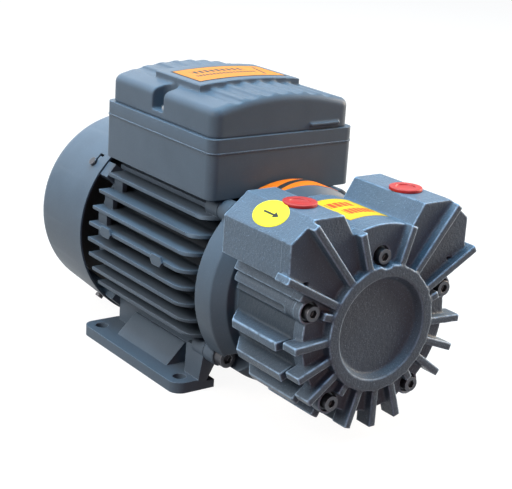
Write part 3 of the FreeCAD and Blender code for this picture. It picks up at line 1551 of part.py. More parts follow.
def build_terminal_box_lid():
    """Crowned lid with lengthwise flutes, a raised plate and a round screw well on each side."""
    body = new_body("terminal_box_lid")
    half = cell("box_half_width") - cell("lid_inset")
    rim, crown, radius = box_rim, cell("lid_crown"), cell("lid_crown_radius")
    rear = cell("box_rear") - cell("lid_inset")
    front = cell("lid_inset") - cell("box_front")
    section = new_sketch(body, "XZ", -rear)
    shoulder = roof_height(half)
    draw_outline(section, [(half, shoulder, radius), (-half, shoulder), (-half, rim), (half, rim)])
    pad(body, section, rear - front)
    round_edges(body, cell("lid_corner"), lambda e: runs_along(e, 2))
    above = rim.value + overlap.value
    round_edges(body, cell("lid_edge_round"), lambda e: e.BoundBox.ZMin > above and not runs_along(e, 2))
    flutes = new_sketch(body, "XZ", cell("flute_margin") - rear)
    count = DRIVING_SIZES["flute_count"]
    wide, bend = cell("flute_width") / 2, cell("flute_radius")
    clear_top = cell("flute_margin")
    for rank in range(count):
        x = cell("flute_pitch") * (rank - (count - 1) / 2)
        low = roof_height(x)
        corners = [(x - wide, low, bend), (x + wide, low), (x + wide, low + clear_top)]
        draw_outline(flutes, corners + [(x - wide, low + clear_top)])
    cut(body, flutes, rear - front - cell("flute_margin") * 2, along_normal=True)
    plate = new_sketch(body, "XZ", -cell("plate_rear"))
    wide, thick = cell("plate_half_width"), cell("plate_thickness")
    edge = roof_height(wide, thick)
    base = roof_height(wide) - cell("plate_thickness")
    draw_outline(plate, [(wide, edge, radius + thick), (-wide, edge), (-wide, base), (wide, base)])
    pad(body, plate, cell("plate_rear") + cell("plate_front"))
    hollow = new_sketch(body, "XY", rim)
    wall = cell("lid_wall")
    corner = [cell("lid_corner") - wall] * 4
    draw_rounded_box(hollow, wall - half, half - wall, front + wall, rear - wall, corner)
    cut(body, hollow, crown - cell("lid_roof"), along_normal=True)
    columns = new_sketch(body, "XY", rim)
    spread = cell("notch_radius") + cell("notch_wall")
    for side in (-1, 1):
        near, far = lid_screw_x - spread, half - wall / 2
        left, right = (near, far) if side > 0 else (-far, -near)
        draw_box(columns, left, right, notch_station - spread, notch_station + spread)
    pad(body, columns, crown - cell("lid_roof") + slack)
    wells = new_sketch(body, "XY", rim + cell("notch_floor"))
    mouths = new_sketch(body, "XY", rim + cell("notch_floor"))
    bend = cell("notch_radius")
    for side in (-1, 1):
        draw_circle(wells, lid_screw_x * side, notch_station, bend)
        left, right = (lid_screw_x, half + wall) if side > 0 else (-half - wall, -lid_screw_x)
        draw_box(mouths, left, right, notch_station - bend, notch_station + bend)
    cut(body, wells, crown, along_normal=True)
    cut(body, mouths, crown, along_normal=True)
    latch = new_sketch(body, "XZ", -front - wall / 2)
    low = rim + cell("latch_rise")
    high = low + cell("latch_thickness")
    draw_box(latch, cell("latch_left"), cell("latch_right"), low, high)
    pad(body, latch, cell("latch_depth") + wall / 2)
    holes = new_sketch(body, "XY", rim)
    for side in (-1, 1):
        draw_circle(holes, lid_screw_x * side, notch_station, cell("lid_screw_radius") + clear)
    cut(body, holes, cell("notch_floor"), along_normal=True)
    return body


def roof_height(x, lift=0):
    """Height of the lid's crowned roof, or of a plate that stands on it, at x."""
    x = Size.of(x)
    radius = cell("lid_crown_radius") + lift
    drop = radius - (radius * radius - x * x).root()
    return box_rim + cell("lid_crown") + lift - drop


def vertical_screws(name, centres, seat, head_radius, head_height, radius, length):
    """Screws along Z with their heads above the seat plane."""
    body = new_body(name)
    heads, shanks = new_sketch(body, "XY", seat), new_sketch(body, "XY", seat)
    for x, y in centres:
        draw_circle(heads, x, y, head_radius)
        draw_circle(shanks, x, y, radius)
    pad(body, heads, head_height)
    pad(body, shanks, length, backwards=True)
    return body


def build_box_fasteners_and_gaskets():
    sides = [(lid_screw_x * side, notch_station) for side in (-1, 1)]
    vertical_screws(
        "lid_screws",
        sides,
        box_rim + cell("notch_floor"),
        cell("lid_screw_head_radius"),
        cell("lid_screw_head_height"),
        cell("lid_screw_radius"),
        cell("lid_screw_length"),
    )
    vertical_screws(
        "box_screws",
        box_screw_centres(),
        box_bottom + cell("box_floor"),
        cell("box_screw_head_radius"),
        cell("box_screw_head_height"),
        cell("box_screw_radius"),
        cell("box_screw_length"),
    )
    gasket = new_body("box_gasket")
    sketch = new_sketch(gasket, "XY", box_bottom - cell("gasket_thickness"))
    x, y = cell("box_pad_half_width"), cell("box_pad_half_length")
    draw_box(sketch, -x, x, -y, y)
    draw_circle(sketch, 0, 0, cell("cable_hole_radius"))
    for centre in box_screw_centres():
        draw_circle(sketch, *centre, cell("box_screw_radius") + clear)
    pad(gasket, sketch, cell("gasket_thickness"))
    strip = new_body("lid_gasket")
    sketch = new_sketch(strip, "XY", box_rim)
    inset = cell("lid_inset") + cell("lid_wall") + slack
    for depth in (inset, inset + cell("lid_gasket_width")):
        half = cell("box_half_width") - depth
        front, rear = depth - cell("box_front"), cell("box_rear") - depth
        corner = [cell("lid_corner") + cell("lid_inset") - depth] * 4
        draw_rounded_box(sketch, -half, half, front, rear, corner)
    pad(strip, sketch, cell("lid_gasket_height"))
    breaks = new_sketch(strip, "XY", box_rim)
    spread = cell("notch_radius") + cell("notch_wall") + slack
    for side in (-1, 1):
        near, far = lid_screw_x - spread, cell("box_half_width")
        left, right = (near, far) if side > 0 else (-far, -near)
        draw_box(breaks, left, right, notch_station - spread, notch_station + spread)
    cut(strip, breaks, cell("lid_gasket_height"), along_normal=True)


def build_box_contents():
    """Terminal block with its posts, and the run capacitor under its clamp."""
    floor = box_bottom + cell("box_floor")
    block = document.addObject("Part::Box", "terminal_block")
    block.Label = "terminal_block"
    bind(block, "Length", cell("terminal_width"))
    bind(block, "Width", cell("terminal_length"))
    bind(block, "Height", cell("terminal_height"))
    left = cell("terminal_offset") - cell("terminal_width") / 2
    place(block, left, -cell("terminal_length") / 2, floor)
    posts = new_body("terminal_posts")
    sketch = new_sketch(posts, "XY", floor + cell("terminal_height"))
    count = DRIVING_SIZES["post_count"]
    for rank in range(count):
        y = cell("post_pitch") * (rank - (count - 1) / 2)
        draw_circle(sketch, cell("terminal_offset"), y, cell("post_radius"))
    pad(posts, sketch, cell("post_height"))
    radius = cell("capacitor_radius")
    capacitor = new_body("run_capacitor", x=-cell("capacitor_offset"), z=floor + radius + clear)
    sketch = new_sketch(capacitor, "XZ", -cell("capacitor_length") / 2)
    draw_circle(sketch, 0, 0, radius)
    pad(capacitor, sketch, cell("capacitor_length"))
    clamp = new_body("capacitor_clamp", x=-cell("capacitor_offset"), z=floor + radius + clear)
    sketch = new_sketch(clamp, "XZ", -cell("clamp_width") / 2)
    inner = radius + slack
    outer = inner + cell("clamp_thickness")
    low, toe = -radius - clear, outer + cell("clamp_toe")
    draw_outline(
        sketch,
        [
            (outer, 0, outer),
            (0, outer, outer),
            (-outer, 0),
            (-outer, low + cell("clamp_thickness")),
            (-toe, low + cell("clamp_thickness")),
            (-toe, low),
            (-inner, low),
            (-inner, 0, -inner),
            (0, inner, -inner),
            (inner, 0),
            (inner, low),
            (toe, low),
            (toe, low + cell("clamp_thickness")),
            (outer, low + cell("clamp_thickness")),
        ],
    )
    pad(clamp, sketch, cell("clamp_width"))


def gland_piece(name):
    place_at = (cell("box_half_width"), cell("gland_station"), gland_height)
    return new_body(name, *place_at)


def build_cable_gland():
    """Empty cable gland on the far side of the box: body, rubber seal, dome nut and locknut."""
    flange, neck = cell("gland_hex_length"), cell("gland_neck_length")
    seal, wall = cell("gland_seal_length"), cell("box_wall")
    locknut = cell("gland_locknut_thickness")
    tail_length = wall + locknut + cell("gland_tail")
    body = gland_piece("gland_body")
    hexagon = new_sketch(body, "YZ")
    draw_hexagon(hexagon, 0, 0, cell("gland_hex_radius"))
    pad(body, hexagon, flange)
    stub = new_sketch(body, "YZ", flange)
    draw_circle(stub, 0, 0, cell("gland_neck_radius"))
    pad(body, stub, neck)
    tail = new_sketch(body, "YZ")
    draw_circle(tail, 0, 0, cell("gland_thread_radius"))
    pad(body, tail, tail_length, backwards=True)
    seat = new_sketch(body, "YZ", flange + neck)
    draw_circle(seat, 0, 0, cell("gland_seal_radius") + clear)
    cut(body, seat, seal)
    way = new_sketch(body, "YZ", flange + neck)
    draw_circle(way, 0, 0, (cell("gland_bore") + cell("gland_seal_radius")) / 2)
    cut(body, way, flange + neck + tail_length)
    rubber = gland_piece("gland_seal")
    sketch = new_sketch(rubber, "YZ", flange + neck - seal)
    draw_circle(sketch, 0, 0, cell("gland_seal_radius"))
    draw_circle(sketch, 0, 0, cell("gland_bore"))
    pad(rubber, sketch, seal)
    nut = gland_piece("gland_nut")
    sketch = new_sketch(nut, "XY")
    gap = cell("gland_nut_gap")
    start, end = flange + gap, flange + cell("gland_nut_length")
    lip = cell("gland_bore") + gap
    outer, inner = cell("gland_nut_radius"), cell("gland_neck_radius") + clear
    draw_outline(
        sketch,
        [
            (start, inner),
            (start, outer),
            (end - cell("gland_dome_length"), outer),
            (end, outer - cell("gland_dome_rise")),
            (end, lip),
            (flange + neck + gap, lip),
            (flange + neck + gap, inner),
        ],
    )
    feature = nut.newObject("PartDesign::Revolution", "gland_nut_turning")
    feature.Profile = sketch
    feature.ReferenceAxis = (sketch, ["H_Axis"])
    feature.Angle = FULL_TURN
    lock = gland_piece("gland_locknut")
    sketch = new_sketch(lock, "YZ", -wall)
    draw_hexagon(sketch, 0, 0, cell("gland_hex_radius"))
    draw_circle(sketch, 0, 0, cell("gland_thread_radius") + clear)
    pad(lock, sketch, locknut, backwards=True)


def build_port_plugs():
    """Soft push-in plugs that keep dirt out of the ports."""
    for name, side in (("inlet_plug", -1), ("outlet_plug", 1)):
        top = cell("shaft_height") + cell("port_top") + clear
        body = new_body(name, cell("port_position") * side, -cell("port_station"), top)
        flange = new_sketch(body, "XY")
        draw_circle(flange, 0, 0, cell("plug_flange_radius"))
        pad(body, flange, cell("plug_flange_thickness"))
        skirt = new_sketch(body, "XY")
        outer = cell("port_bore") - cell("plug_clearance")
        draw_circle(skirt, 0, 0, outer)
        draw_circle(skirt, 0, 0, outer - cell("plug_wall"))
        pad(body, skirt, cell("plug_skirt_length"), backwards=True)
        dish = new_sketch(body, "XY", cell("plug_flange_thickness"))
        draw_circle(dish, 0, 0, outer - cell("plug_wall"))
        cut(body, dish, cell("plug_flange_thickness") / 3)


key_rear = rotor_rear - (rotor_rear - rotor_recess_floor - cell("key_length")) / 2
key_front = key_rear - cell("key_length")
key_length_in_rotor = rotor_rear - key_front
notch_station = cell("notch_station")
lid_screw_x = cell("box_half_width") - cell("lid_inset") - cell("notch_depth")


def build_all():
    build_motor_frame()
    build_drive_end_bell()
    build_rear_shield()
    build_shield_screws()
    build_bearings()
    build_fan_cowl()
    build_cowl_screws()
    build_fan()
    build_motor_inside()
    build_motor_shaft()
    build_pump_rotor()
    build_vanes()
    build_pump_cylinder()
    build_pump_end_cover()
    build_cover_gasket()
    build_pump_fasteners()
    build_terminal_box_base()
    build_terminal_box_lid()
    build_box_fasteners_and_gaskets()
    build_box_contents()
    build_cable_gland()
    build_port_plugs()


def is_piece(item):
    if item.TypeId == "PartDesign::Body":
        return True
    return item.TypeId.startswith("Part::") and not item.InList


def export_pieces():
    """Checks every object and writes each piece under its own name."""
    document.recompute()
    for item in document.Objects:
        if {"Invalid", "Error"} & set(item.State):
            raise RuntimeError("%s failed to build" % item.Name)
    os.makedirs("parts", exist_ok=True)
    for piece in filter(is_piece, document.Objects):
        if piece.Shape.isNull() or not piece.Shape.isValid() or not piece.Shape.Solids:
            raise RuntimeError("%s has no valid solid" % piece.Label)
        piece.Shape.exportStep("parts/%s.step" % piece.Label)


build_all()
export_pieces()
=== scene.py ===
"""Finished look of a dry rotary vane vacuum pump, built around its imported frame."""
import json
import math

import bmesh
import bpy
from bpy.props import FloatProperty, FloatVectorProperty, IntProperty, PointerProperty
from mathutils import Matrix, Vector

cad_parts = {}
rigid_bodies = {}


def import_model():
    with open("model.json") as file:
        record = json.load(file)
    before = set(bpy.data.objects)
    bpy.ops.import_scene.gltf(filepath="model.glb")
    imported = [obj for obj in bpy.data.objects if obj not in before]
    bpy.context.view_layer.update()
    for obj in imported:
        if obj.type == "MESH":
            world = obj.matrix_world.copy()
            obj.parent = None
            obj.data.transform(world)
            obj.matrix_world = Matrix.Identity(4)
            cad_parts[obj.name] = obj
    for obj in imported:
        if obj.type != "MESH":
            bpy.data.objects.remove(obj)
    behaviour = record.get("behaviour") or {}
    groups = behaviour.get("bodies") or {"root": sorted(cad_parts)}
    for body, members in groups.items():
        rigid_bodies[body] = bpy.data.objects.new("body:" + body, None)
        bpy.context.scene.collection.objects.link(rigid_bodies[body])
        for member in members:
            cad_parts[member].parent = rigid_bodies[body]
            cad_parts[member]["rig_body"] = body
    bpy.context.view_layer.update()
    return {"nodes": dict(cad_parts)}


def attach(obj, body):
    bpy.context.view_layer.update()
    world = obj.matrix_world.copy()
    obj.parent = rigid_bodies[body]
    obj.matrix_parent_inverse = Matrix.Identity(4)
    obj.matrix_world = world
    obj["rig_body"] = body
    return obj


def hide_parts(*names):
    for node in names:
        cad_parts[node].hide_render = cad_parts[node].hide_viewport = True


bl_info = {
    "name": "Rotary vane pump look",
    "version": (1, 0, 0),
    "blender": (4, 5, 0),
    "location": "View3D > Sidebar > Vane pump",
    "description": "Castings, paint, stickers and studio for a rotary vane vacuum pump",
    "category": "Object",
}

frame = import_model()
MM = 0.001
SHAFT = Vector((0.0, 0.0, 0.08))
WHITE = (1.0, 1.0, 1.0, 1.0)
SOCKETS = {
    "colour": "Base Color",
    "rough": "Roughness",
    "metal": "Metallic",
    "normal": "Normal",
    "specular": "Specular IOR Level",
}


# Shader expressions


class Wire:
    """A shader socket that takes part in Python arithmetic."""

    def __init__(self, finish, socket):
        self.finish = finish
        self.socket = socket

    def joined(self, operation, *others):
        made = self.finish.node("ShaderNodeMath", {"operation": operation})
        for index, value in enumerate((self, *others)):
            self.finish.feed(made.inputs[index], value)
        return Wire(self.finish, made.outputs[0])

    def __add__(self, other):
        return self.joined("ADD", other)

    def __radd__(self, other):
        return self.joined("ADD", other)

    def __sub__(self, other):
        return self.joined("SUBTRACT", other)

    def __rsub__(self, other):
        return (self * -1).joined("ADD", other)

    def __mul__(self, other):
        return self.joined("MULTIPLY", other)

    def __rmul__(self, other):
        return self.joined("MULTIPLY", other)

    def __truediv__(self, other):
        return self.joined("DIVIDE", other)

    def __abs__(self):
        return self.joined("ABSOLUTE")

    def __mod__(self, other):
        return self.joined("FLOORED_MODULO", other)

    def __pow__(self, other):
        return self.joined("POWER", other)

    def above(self, edge):
        return self.joined("GREATER_THAN", edge)

    def below(self, edge):
        return self.joined("LESS_THAN", edge)

    def either(self, other):
        return self.joined("MAXIMUM", other)

    def both(self, other):
        return self.joined("MINIMUM", other)

    def ramp(self, low, high, bottom=0.0, top=1.0):
        """Runs smoothly from bottom to top while the value runs from low to high."""
        made = self.finish.node(
            "ShaderNodeMapRange",
            {"interpolation_type": "SMOOTHSTEP"},
            {"Value": self, "From Min": low, "From Max": high, "To Min": bottom, "To Max": top},
        )
        return Wire(self.finish, made.outputs["Result"])


class Finish:
    """A material under construction, with one Principled shader."""

    def __init__(self, name):
        self.material = bpy.data.materials.new(name)
        self.material.use_nodes = True
        self.tree = self.material.node_tree
        self.tree.nodes.clear()
        self.surface = self.node("ShaderNodeBsdfPrincipled")
        output = self.node("ShaderNodeOutputMaterial")
        self.tree.links.new(self.surface.outputs[0], output.inputs["Surface"])

    def node(self, kind, settings=None, inputs=None):
        made = self.tree.nodes.new(kind)
        for field, value in (settings or {}).items():
            setattr(made, field, value)
        for socket, value in (inputs or {}).items():
            self.feed(made.inputs[socket], value)
        return made

    def feed(self, socket, value):
        if isinstance(value, Wire):
            self.tree.links.new(value.socket, socket)
        else:
            socket.default_value = value

    def out(self, node, name):
        return Wire(self, node.outputs[name])

    def place(self, kind="Object"):
        return self.out(self.node("ShaderNodeTexCoord"), kind)

    def axis(self, name, kind="Object"):
        parts = self.node("ShaderNodeSeparateXYZ", inputs={0: self.place(kind)})
        return self.out(parts, name)

    def noise(self, size, detail=2.0, rough=0.5):
        """Noise from 0 to 1 whose lumps are about that many metres across."""
        settings = {"Vector": self.place(), "Scale": 1 / size, "Detail": detail, "Roughness": rough}
        return self.out(self.node("ShaderNodeTexNoise", inputs=settings), 0)

    def mix(self, factor, first, second):
        """Colour that turns from the first to the second."""
        made = self.node("ShaderNodeMix", {"data_type": "RGBA"}, {0: factor})
        self.feed(made.inputs[6], first)
        self.feed(made.inputs[7], second)
        return Wire(self, made.outputs[2])

    def rounded(self, radius):
        made = self.node("ShaderNodeBevel", {"samples": 4}, {"Radius": radius})
        return self.out(made, "Normal")

    def edges(self, normal, strength):
        """Near 1 along edges that the rounded normal bends round."""
        flat = self.out(self.node("ShaderNodeNewGeometry"), "True Normal")
        made = self.node("ShaderNodeVectorMath", {"operation": "DOT_PRODUCT"}, {0: normal, 1: flat})
        bend = self.out(made, "Value")
        return ((1 - bend) * strength).ramp(0.0, 1.0)

    def bump(self, height, distance, normal=None):
        settings = {"Height": height, "Distance": distance, "Strength": 1.0}
        if normal is not None:
            settings["Normal"] = normal
        return self.out(self.node("ShaderNodeBump", inputs=settings), 0)

    def set(self, **inputs):
        for name, value in inputs.items():
            self.feed(self.surface.inputs[SOCKETS[name]], value)
        return self.material


def shade(colour, factor):
    return tuple(min(1.0, part * factor) for part in colour[:3]) + (1.0,)


# Colour factors: lighter rims are partly rubbed paint and partly painted highlight; darker cavities
# are painted shade.
RUBBED_AND_HIGHLIGHT_SHADE = 3.6
CAVITY_PAINTED_SHADE = 0.3
RIM_BEND = (0.507, 0.55)
CAVITY_BEND = (0.515, 0.58)


def enamel(name, colour, look):
    """Sprayed enamel on a casting: grainy, uneven in gloss and thinner along its edges, which are
    lighter, partly rubbed paint and partly painted highlight; lighter spots on the grain are
    painted glints.

    A dense look is for finely meshed castings, whose rims and cavities show in the mesh's
    own bend; its cavities get painted shade. Any other finds its edges with the rounded normal.
    A finned look gets painted shade between the fins, darker towards the nearer of those two
    distances from the shaft.
    """
    finish = Finish(name)
    soft = finish.rounded(look["edge"])
    rim = finish.edges(soft, 3.2)
    cloud = finish.noise(0.022, 3.0)
    lumps = finish.noise(look["grain"] * 2.2, 2.0)
    sand = finish.noise(look["grain"], 3.0, 0.6)
    # Painted highlight: random lighter spots on the grain stand for glints of light.
    painted_glints = finish.noise(look["grain"] * 0.7, 1.0).ramp(0.60, 0.76)
    body = finish.mix(cloud, shade(colour, 0.86), shade(colour, 1.14))
    body = finish.mix(painted_glints * look["painted_glint_share"], body, shade(colour, 2.4))
    if look["dense"]:
        bend = finish.out(finish.node("ShaderNodeNewGeometry"), "Pointiness")
        rim = bend.ramp(*RIM_BEND)
        # Painted shade: the mesh's cavities darken where shade falls in them.
        cavity_painted_shade = (1 - bend).ramp(*CAVITY_BEND) * 0.7
        body = finish.mix(cavity_painted_shade, body, shade(colour, CAVITY_PAINTED_SHADE))
    # Lighter edges: partly rubbed paint, partly painted highlight where edges catch the light.
    worn_and_highlight = rim * finish.noise(0.004, 2.0).ramp(0.15, 0.55) * look["wear_and_highlight"]
    body = finish.mix(worn_and_highlight, body, shade(colour, RUBBED_AND_HIGHLIGHT_SHADE))
    # Painted shade between the fins: colour darkens towards the shaft, where the fins shade each
    # other; clear is 1 out at the fin tips.
    if "hollow" in look:
        low, high = look["hollow"]
        side, rise = finish.axis("X"), finish.axis("Z") - SHAFT.z
        clear = ((side * side + rise * rise) ** 0.5).ramp(low, high)
        body = finish.mix(clear, shade(colour, look["hollow_shade"]), body)
    rough = look["rough"] + sand * 0.16 + cloud * 0.06
    return finish.set(
        colour=body,
        rough=rough,
        specular=look["shine"],
        normal=finish.bump(lumps * 0.6 + sand * 0.4, look["relief"], soft),
    )


def bare_metal(name, colour, rough, grain, radius=0.0003, rim=1.0):
    """Machined or plated metal with fine turning marks and lighter edges, partly rubbed metal and
    partly painted highlight.
    """
    finish = Finish(name)
    marks = finish.noise(grain, 4.0, 0.7)
    cloud = finish.noise(0.01, 2.0)
    soft = finish.rounded(radius)
    body = finish.mix(cloud, shade(colour, 0.85), shade(colour, 1.1))
    # Painted highlight: edges lighten by the rim factor, partly standing for rubbed metal.
    body = finish.mix(finish.edges(soft, 2.5), body, shade(colour, rim))
    return finish.set(
        colour=body,
        metal=1.0,
        rough=rough + marks * 0.15,
        normal=finish.bump(marks, grain * 0.05, soft),
    )


def moulded(name, colour, rough, grain=0.0006, relief=0.00002):
    """Moulded plastic or rubber with a fine eroded texture."""
    finish = Finish(name)
    pits = finish.noise(grain, 2.0)
    cloud = finish.noise(0.012, 2.0)
    body = finish.mix(cloud, shade(colour, 0.88), shade(colour, 1.08))
    return finish.set(
        colour=body,
        rough=rough + pits * 0.1,
        normal=finish.bump(pits, relief, finish.rounded(0.0004)),
    )


def laminations(name, colour):
    """Stacked steel sheets seen as fine lines across the shaft."""
    finish = Finish(name)
    sheet = (finish.axis("Y") / 0.0005) % 1.0
    line = sheet.ramp(0.75, 0.95)
    body = finish.mix(line, colour, shade(colour, 0.4))
    return finish.set(colour=body, metal=0.8, rough=0.45 + line * 0.2)


def enamelled_wire(name, colour):
    """Turns of varnished wire round the coil ends."""
    finish = Finish(name)
    angle = finish.node("ShaderNodeMath", {"operation": "ARCTAN2"})
    finish.feed(angle.inputs[0], finish.axis("Z") - SHAFT.z)
    finish.feed(angle.inputs[1], finish.axis("X"))
    turn = (finish.out(angle, 0) * 18 + finish.axis("Y") * 900) % 1.0
    ridge = abs(turn - 0.5) * 2
    body = finish.mix(ridge, shade(colour, 0.5), colour)
    return finish.set(colour=body, metal=0.6, rough=0.35, normal=finish.bump(ridge, 0.0004))


# Sticker prints, drawn from the sheet's own 0 to 1 coordinates


def print_base(name):
    finish = Finish(name)
    return finish, finish.axis("X", "UV"), finish.axis("Y", "UV")


def finish_print(finish, colour, ink, mask):
    fade = finish.noise(0.01, 2.0)
    ground = finish.mix(fade, shade(colour, 0.93), shade(colour, 1.03))
    body = finish.mix(mask, ground, ink)
    return finish.set(
        colour=body, rough=0.5 + fade * 0.1, specular=0.22,
        normal=finish.bump(finish.noise(0.006, 2.0), 0.00006),
    )


def bar(across, centre, half):
    return abs(across - centre).below(half)


def arrow_print(name, colour, ink):
    """A plain arrow on a round sticker."""
    finish, u, v = print_base(name)
    shaft = bar(v, 0.5, 0.035).both(bar(u, 0.47, 0.2))
    head = (abs(v - 0.5) + (u - 0.6) * 0.75).below(0.12).both(u.above(0.6))
    return finish_print(finish, colour, ink, shaft.either(head))


def bars_print(name, colour, ink):
    """Two rows of short bars on a rectangular sticker."""
    finish, u, v = print_base(name)
    top = bar(v, 0.68, 0.11).both(bar(u, 0.42, 0.3)).both(((u * 7) % 1.0).above(0.22))
    low = bar(v, 0.32, 0.12).both(bar(u, 0.56, 0.36)).both(((u * 9) % 1.0).above(0.2))
    return finish_print(finish, colour, ink, top.either(low))


def band_print(name, colour, ink):
    """A long dark stroke that crosses the band and parts it into two bright arcs."""
    finish, u, v = print_base(name)
    stroke = abs(v - 0.16 - u * 1.0).below(0.15 - u * 0.04).both(u.above(0.13))
    edge = v.above(0.97)
    return finish_print(finish, colour, ink, stroke.either(edge))


def lid_print(name, colour, ink):
    """A dark border with two rows of plain blocks and a slanting mark at one end."""
    finish, u, v = print_base(name)
    border = abs(u - 0.5).above(0.488).either(abs(v - 0.5).above(0.465))
    rows = bar(v, 0.66, 0.09).both(bar(u, 0.42, 0.3)).both(((u * 16) % 1.0).above(0.4))
    line = bar(v, 0.4, 0.05).both(bar(u, 0.44, 0.34)).both(((u * 26) % 1.0).above(0.35))
    slant = abs(u - 0.85 - (v - 0.5) * 0.12).below(0.012).both(bar(v, 0.5, 0.32))
    return finish_print(finish, colour, ink, border.either(rows).either(line).either(slant))


# Mesh work

MERGE_DISTANCE = 0.01 * MM
FLAT_ANGLE = math.radians(0.6)
BEVEL_ANGLE = math.radians(32)
SHARP_ANGLE = math.radians(20)
SHEET_SKIRT = 1.4


def new_piece(name, mesh, material, body, smooth=True):
    piece = bpy.data.objects.new(name, mesh)
    bpy.context.scene.collection.objects.link(piece)
    mesh.materials.clear()
    mesh.materials.append(material)
    for face in mesh.polygons:
        face.use_smooth = smooth
    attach(piece, body)
    return piece


def body_of(node):
    return frame["nodes"][node]["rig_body"]


def clean_copy(node, name):
    """The node's mesh with shared corners and whole flat faces."""
    mesh = frame["nodes"][node].data.copy()
    mesh.name = name
    work = bmesh.new()
    work.from_mesh(mesh)
    bmesh.ops.remove_doubles(work, verts=work.verts, dist=MERGE_DISTANCE)
    bmesh.ops.dissolve_degenerate(work, edges=work.edges, dist=MERGE_DISTANCE)
    work.to_mesh(mesh)
    work.free()
    if mesh.has_custom_normals:
        mesh.attributes.remove(mesh.attributes["custom_normal"])
    return mesh


def apply_modifiers(piece):
    """Bakes the piece's modifiers into its mesh."""
    depsgraph = bpy.context.evaluated_depsgraph_get()
    made = bpy.data.meshes.new_from_object(piece.evaluated_get(depsgraph))
    piece.modifiers.clear()
    piece.data = made


def modify(piece, kind, **settings):
    modifier = piece.modifiers.new(kind.lower(), kind)
    for field, value in settings.items():
        setattr(modifier, field, value)
    return modifier


def cast_piece(node, name, material, voxel, steps, keep, shape=None, cutter=None):
    """A casting: its sharp corners melt into fillets, and its faces get a fine grid."""
    mesh = clean_copy(node, name)
    if shape is not None:
        for vertex in mesh.vertices:
            vertex.co = shape(vertex.co)
    piece = new_piece(name, mesh, material, body_of(node))
    if cutter is not None:
        modify(piece, "BOOLEAN", operation="DIFFERENCE", solver="EXACT", object=cutter)
    modify(piece, "REMESH", mode="VOXEL", voxel_size=voxel, adaptivity=0.0)
    modify(piece, "SMOOTH", factor=0.5, iterations=steps)
    modify(piece, "DECIMATE", ratio=keep)
    apply_modifiers(piece)
    for face in piece.data.polygons:
        face.use_smooth = True
    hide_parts(node)
    return piece


def edged_piece(node, name, material, width, segments=2, shape=None):
    """A sharp-edged part with a small round on each real edge."""
    mesh = clean_copy(node, name)
    if shape is not None:
        for vertex in mesh.vertices:
            vertex.co = shape(vertex.co)
    work = bmesh.new()
    work.from_mesh(mesh)
    bmesh.ops.dissolve_limit(work, angle_limit=FLAT_ANGLE, verts=work.verts, edges=work.edges)
    work.to_mesh(mesh)
    work.free()
    piece = new_piece(name, mesh, material, body_of(node))
    modify(
        piece, "BEVEL", width=width, segments=segments, limit_method="ANGLE",
        angle_limit=BEVEL_ANGLE, use_clamp_overlap=True, harden_normals=False,
    )
    apply_modifiers(piece)
    piece.data.set_sharp_from_angle(angle=SHARP_ANGLE)
    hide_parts(node)
    return piece


def sheet_mesh(name, point_at, columns, rows, thickness, round_shape=False):
    """A thin sheet on a surface; point_at(u, v) gives a point and the outward normal there."""
    work = bmesh.new()
    layer = work.loops.layers.uv.new("UVMap")
    grid = {}
    for i in range(columns + 1):
        for j in range(rows + 1):
            u, v = i / columns, j / rows
            if round_shape:
                u, v = disc_spot(u, v)
            point, normal = point_at(u, v)
            grid[i, j] = (work.verts.new(point + normal * thickness), u, v)
    for i in range(columns):
        for j in range(rows):
            corners = [grid[i, j], grid[i + 1, j], grid[i + 1, j + 1], grid[i, j + 1]]
            face = work.faces.new([corner[0] for corner in corners])
            for loop, corner in zip(face.loops, corners):
                loop[layer].uv = (corner[1], corner[2])
    outer = [edge for edge in work.edges if edge.is_boundary]
    made = bmesh.ops.extrude_edge_only(work, edges=outer)
    for vertex in [item for item in made["geom"] if isinstance(item, bmesh.types.BMVert)]:
        source = min(grid.values(), key=lambda item: (item[0].co - vertex.co).length)
        vertex.co -= point_at(source[1], source[2])[1] * thickness * SHEET_SKIRT
    bmesh.ops.recalc_face_normals(work, faces=work.faces)
    mesh = bpy.data.meshes.new(name)
    work.to_mesh(mesh)
    work.free()
    return mesh


def prism(work, corners, low, high):
    """A straight solid between two heights; corners give a point for each height."""
    ends = [[work.verts.new(corner(height)) for corner in corners] for height in (low, high)]
    work.faces.new(ends[0])
    work.faces.new(ends[1][::-1])
    for index in range(len(corners)):
        after = (index + 1) % len(corners)
        work.faces.new((ends[0][after], ends[0][index], ends[1][index], ends[1][after]))


def made_mesh(name, work):
    bmesh.ops.recalc_face_normals(work, faces=work.faces)
    mesh = bpy.data.meshes.new(name)
    work.to_mesh(mesh)
    work.free()
    return mesh


def crown_drop(x, radius):
    """How far a crowned top lies below its middle at x."""
    return radius - math.sqrt(radius * radius - x * x)


def disc_spot(u, v):
    """Moves a point of the unit square to the disc inside it, ring by ring."""
    x, y = u * 2 - 1, v * 2 - 1
    reach = max(abs(x), abs(y))
    length = math.hypot(x, y) or 1.0
    return 0.5 + x / length * reach / 2, 0.5 + y / length * reach / 2


def on_shaft_circle(radius, degrees, station):
    """A point round the shaft and the direction that faces away from it."""
    turn = math.radians(degrees)
    away = Vector((math.cos(turn), 0.0, math.sin(turn)))
    return SHAFT + away * radius + Vector((0.0, station, 0.0)), away


# Shapes on the terminal box and the fins

PLATE_TOP = 214.3 * MM
PLATE_BEND = 0.5
PLATE_RADIUS = 197.5 * MM
PLATE_HALF = 43.8 * MM
PLATE_FRONT, PLATE_REAR = -30.2 * MM, 28.2 * MM
PLATE_STEP = 1.8 * MM
LID_RADIUS = 195 * MM
LID_TOP = 211.98 * MM

FLUTE_HALF = 5.3 * MM
FLUTE_RADIUS = 11.5 * MM
FLUTE_PITCH = 13.3 * MM
FLUTE_CLEAR = 6 * MM
FLUTE_ENDS = ((-73.4 * MM, -66.2 * MM), (58.7 * MM, 65.9 * MM))

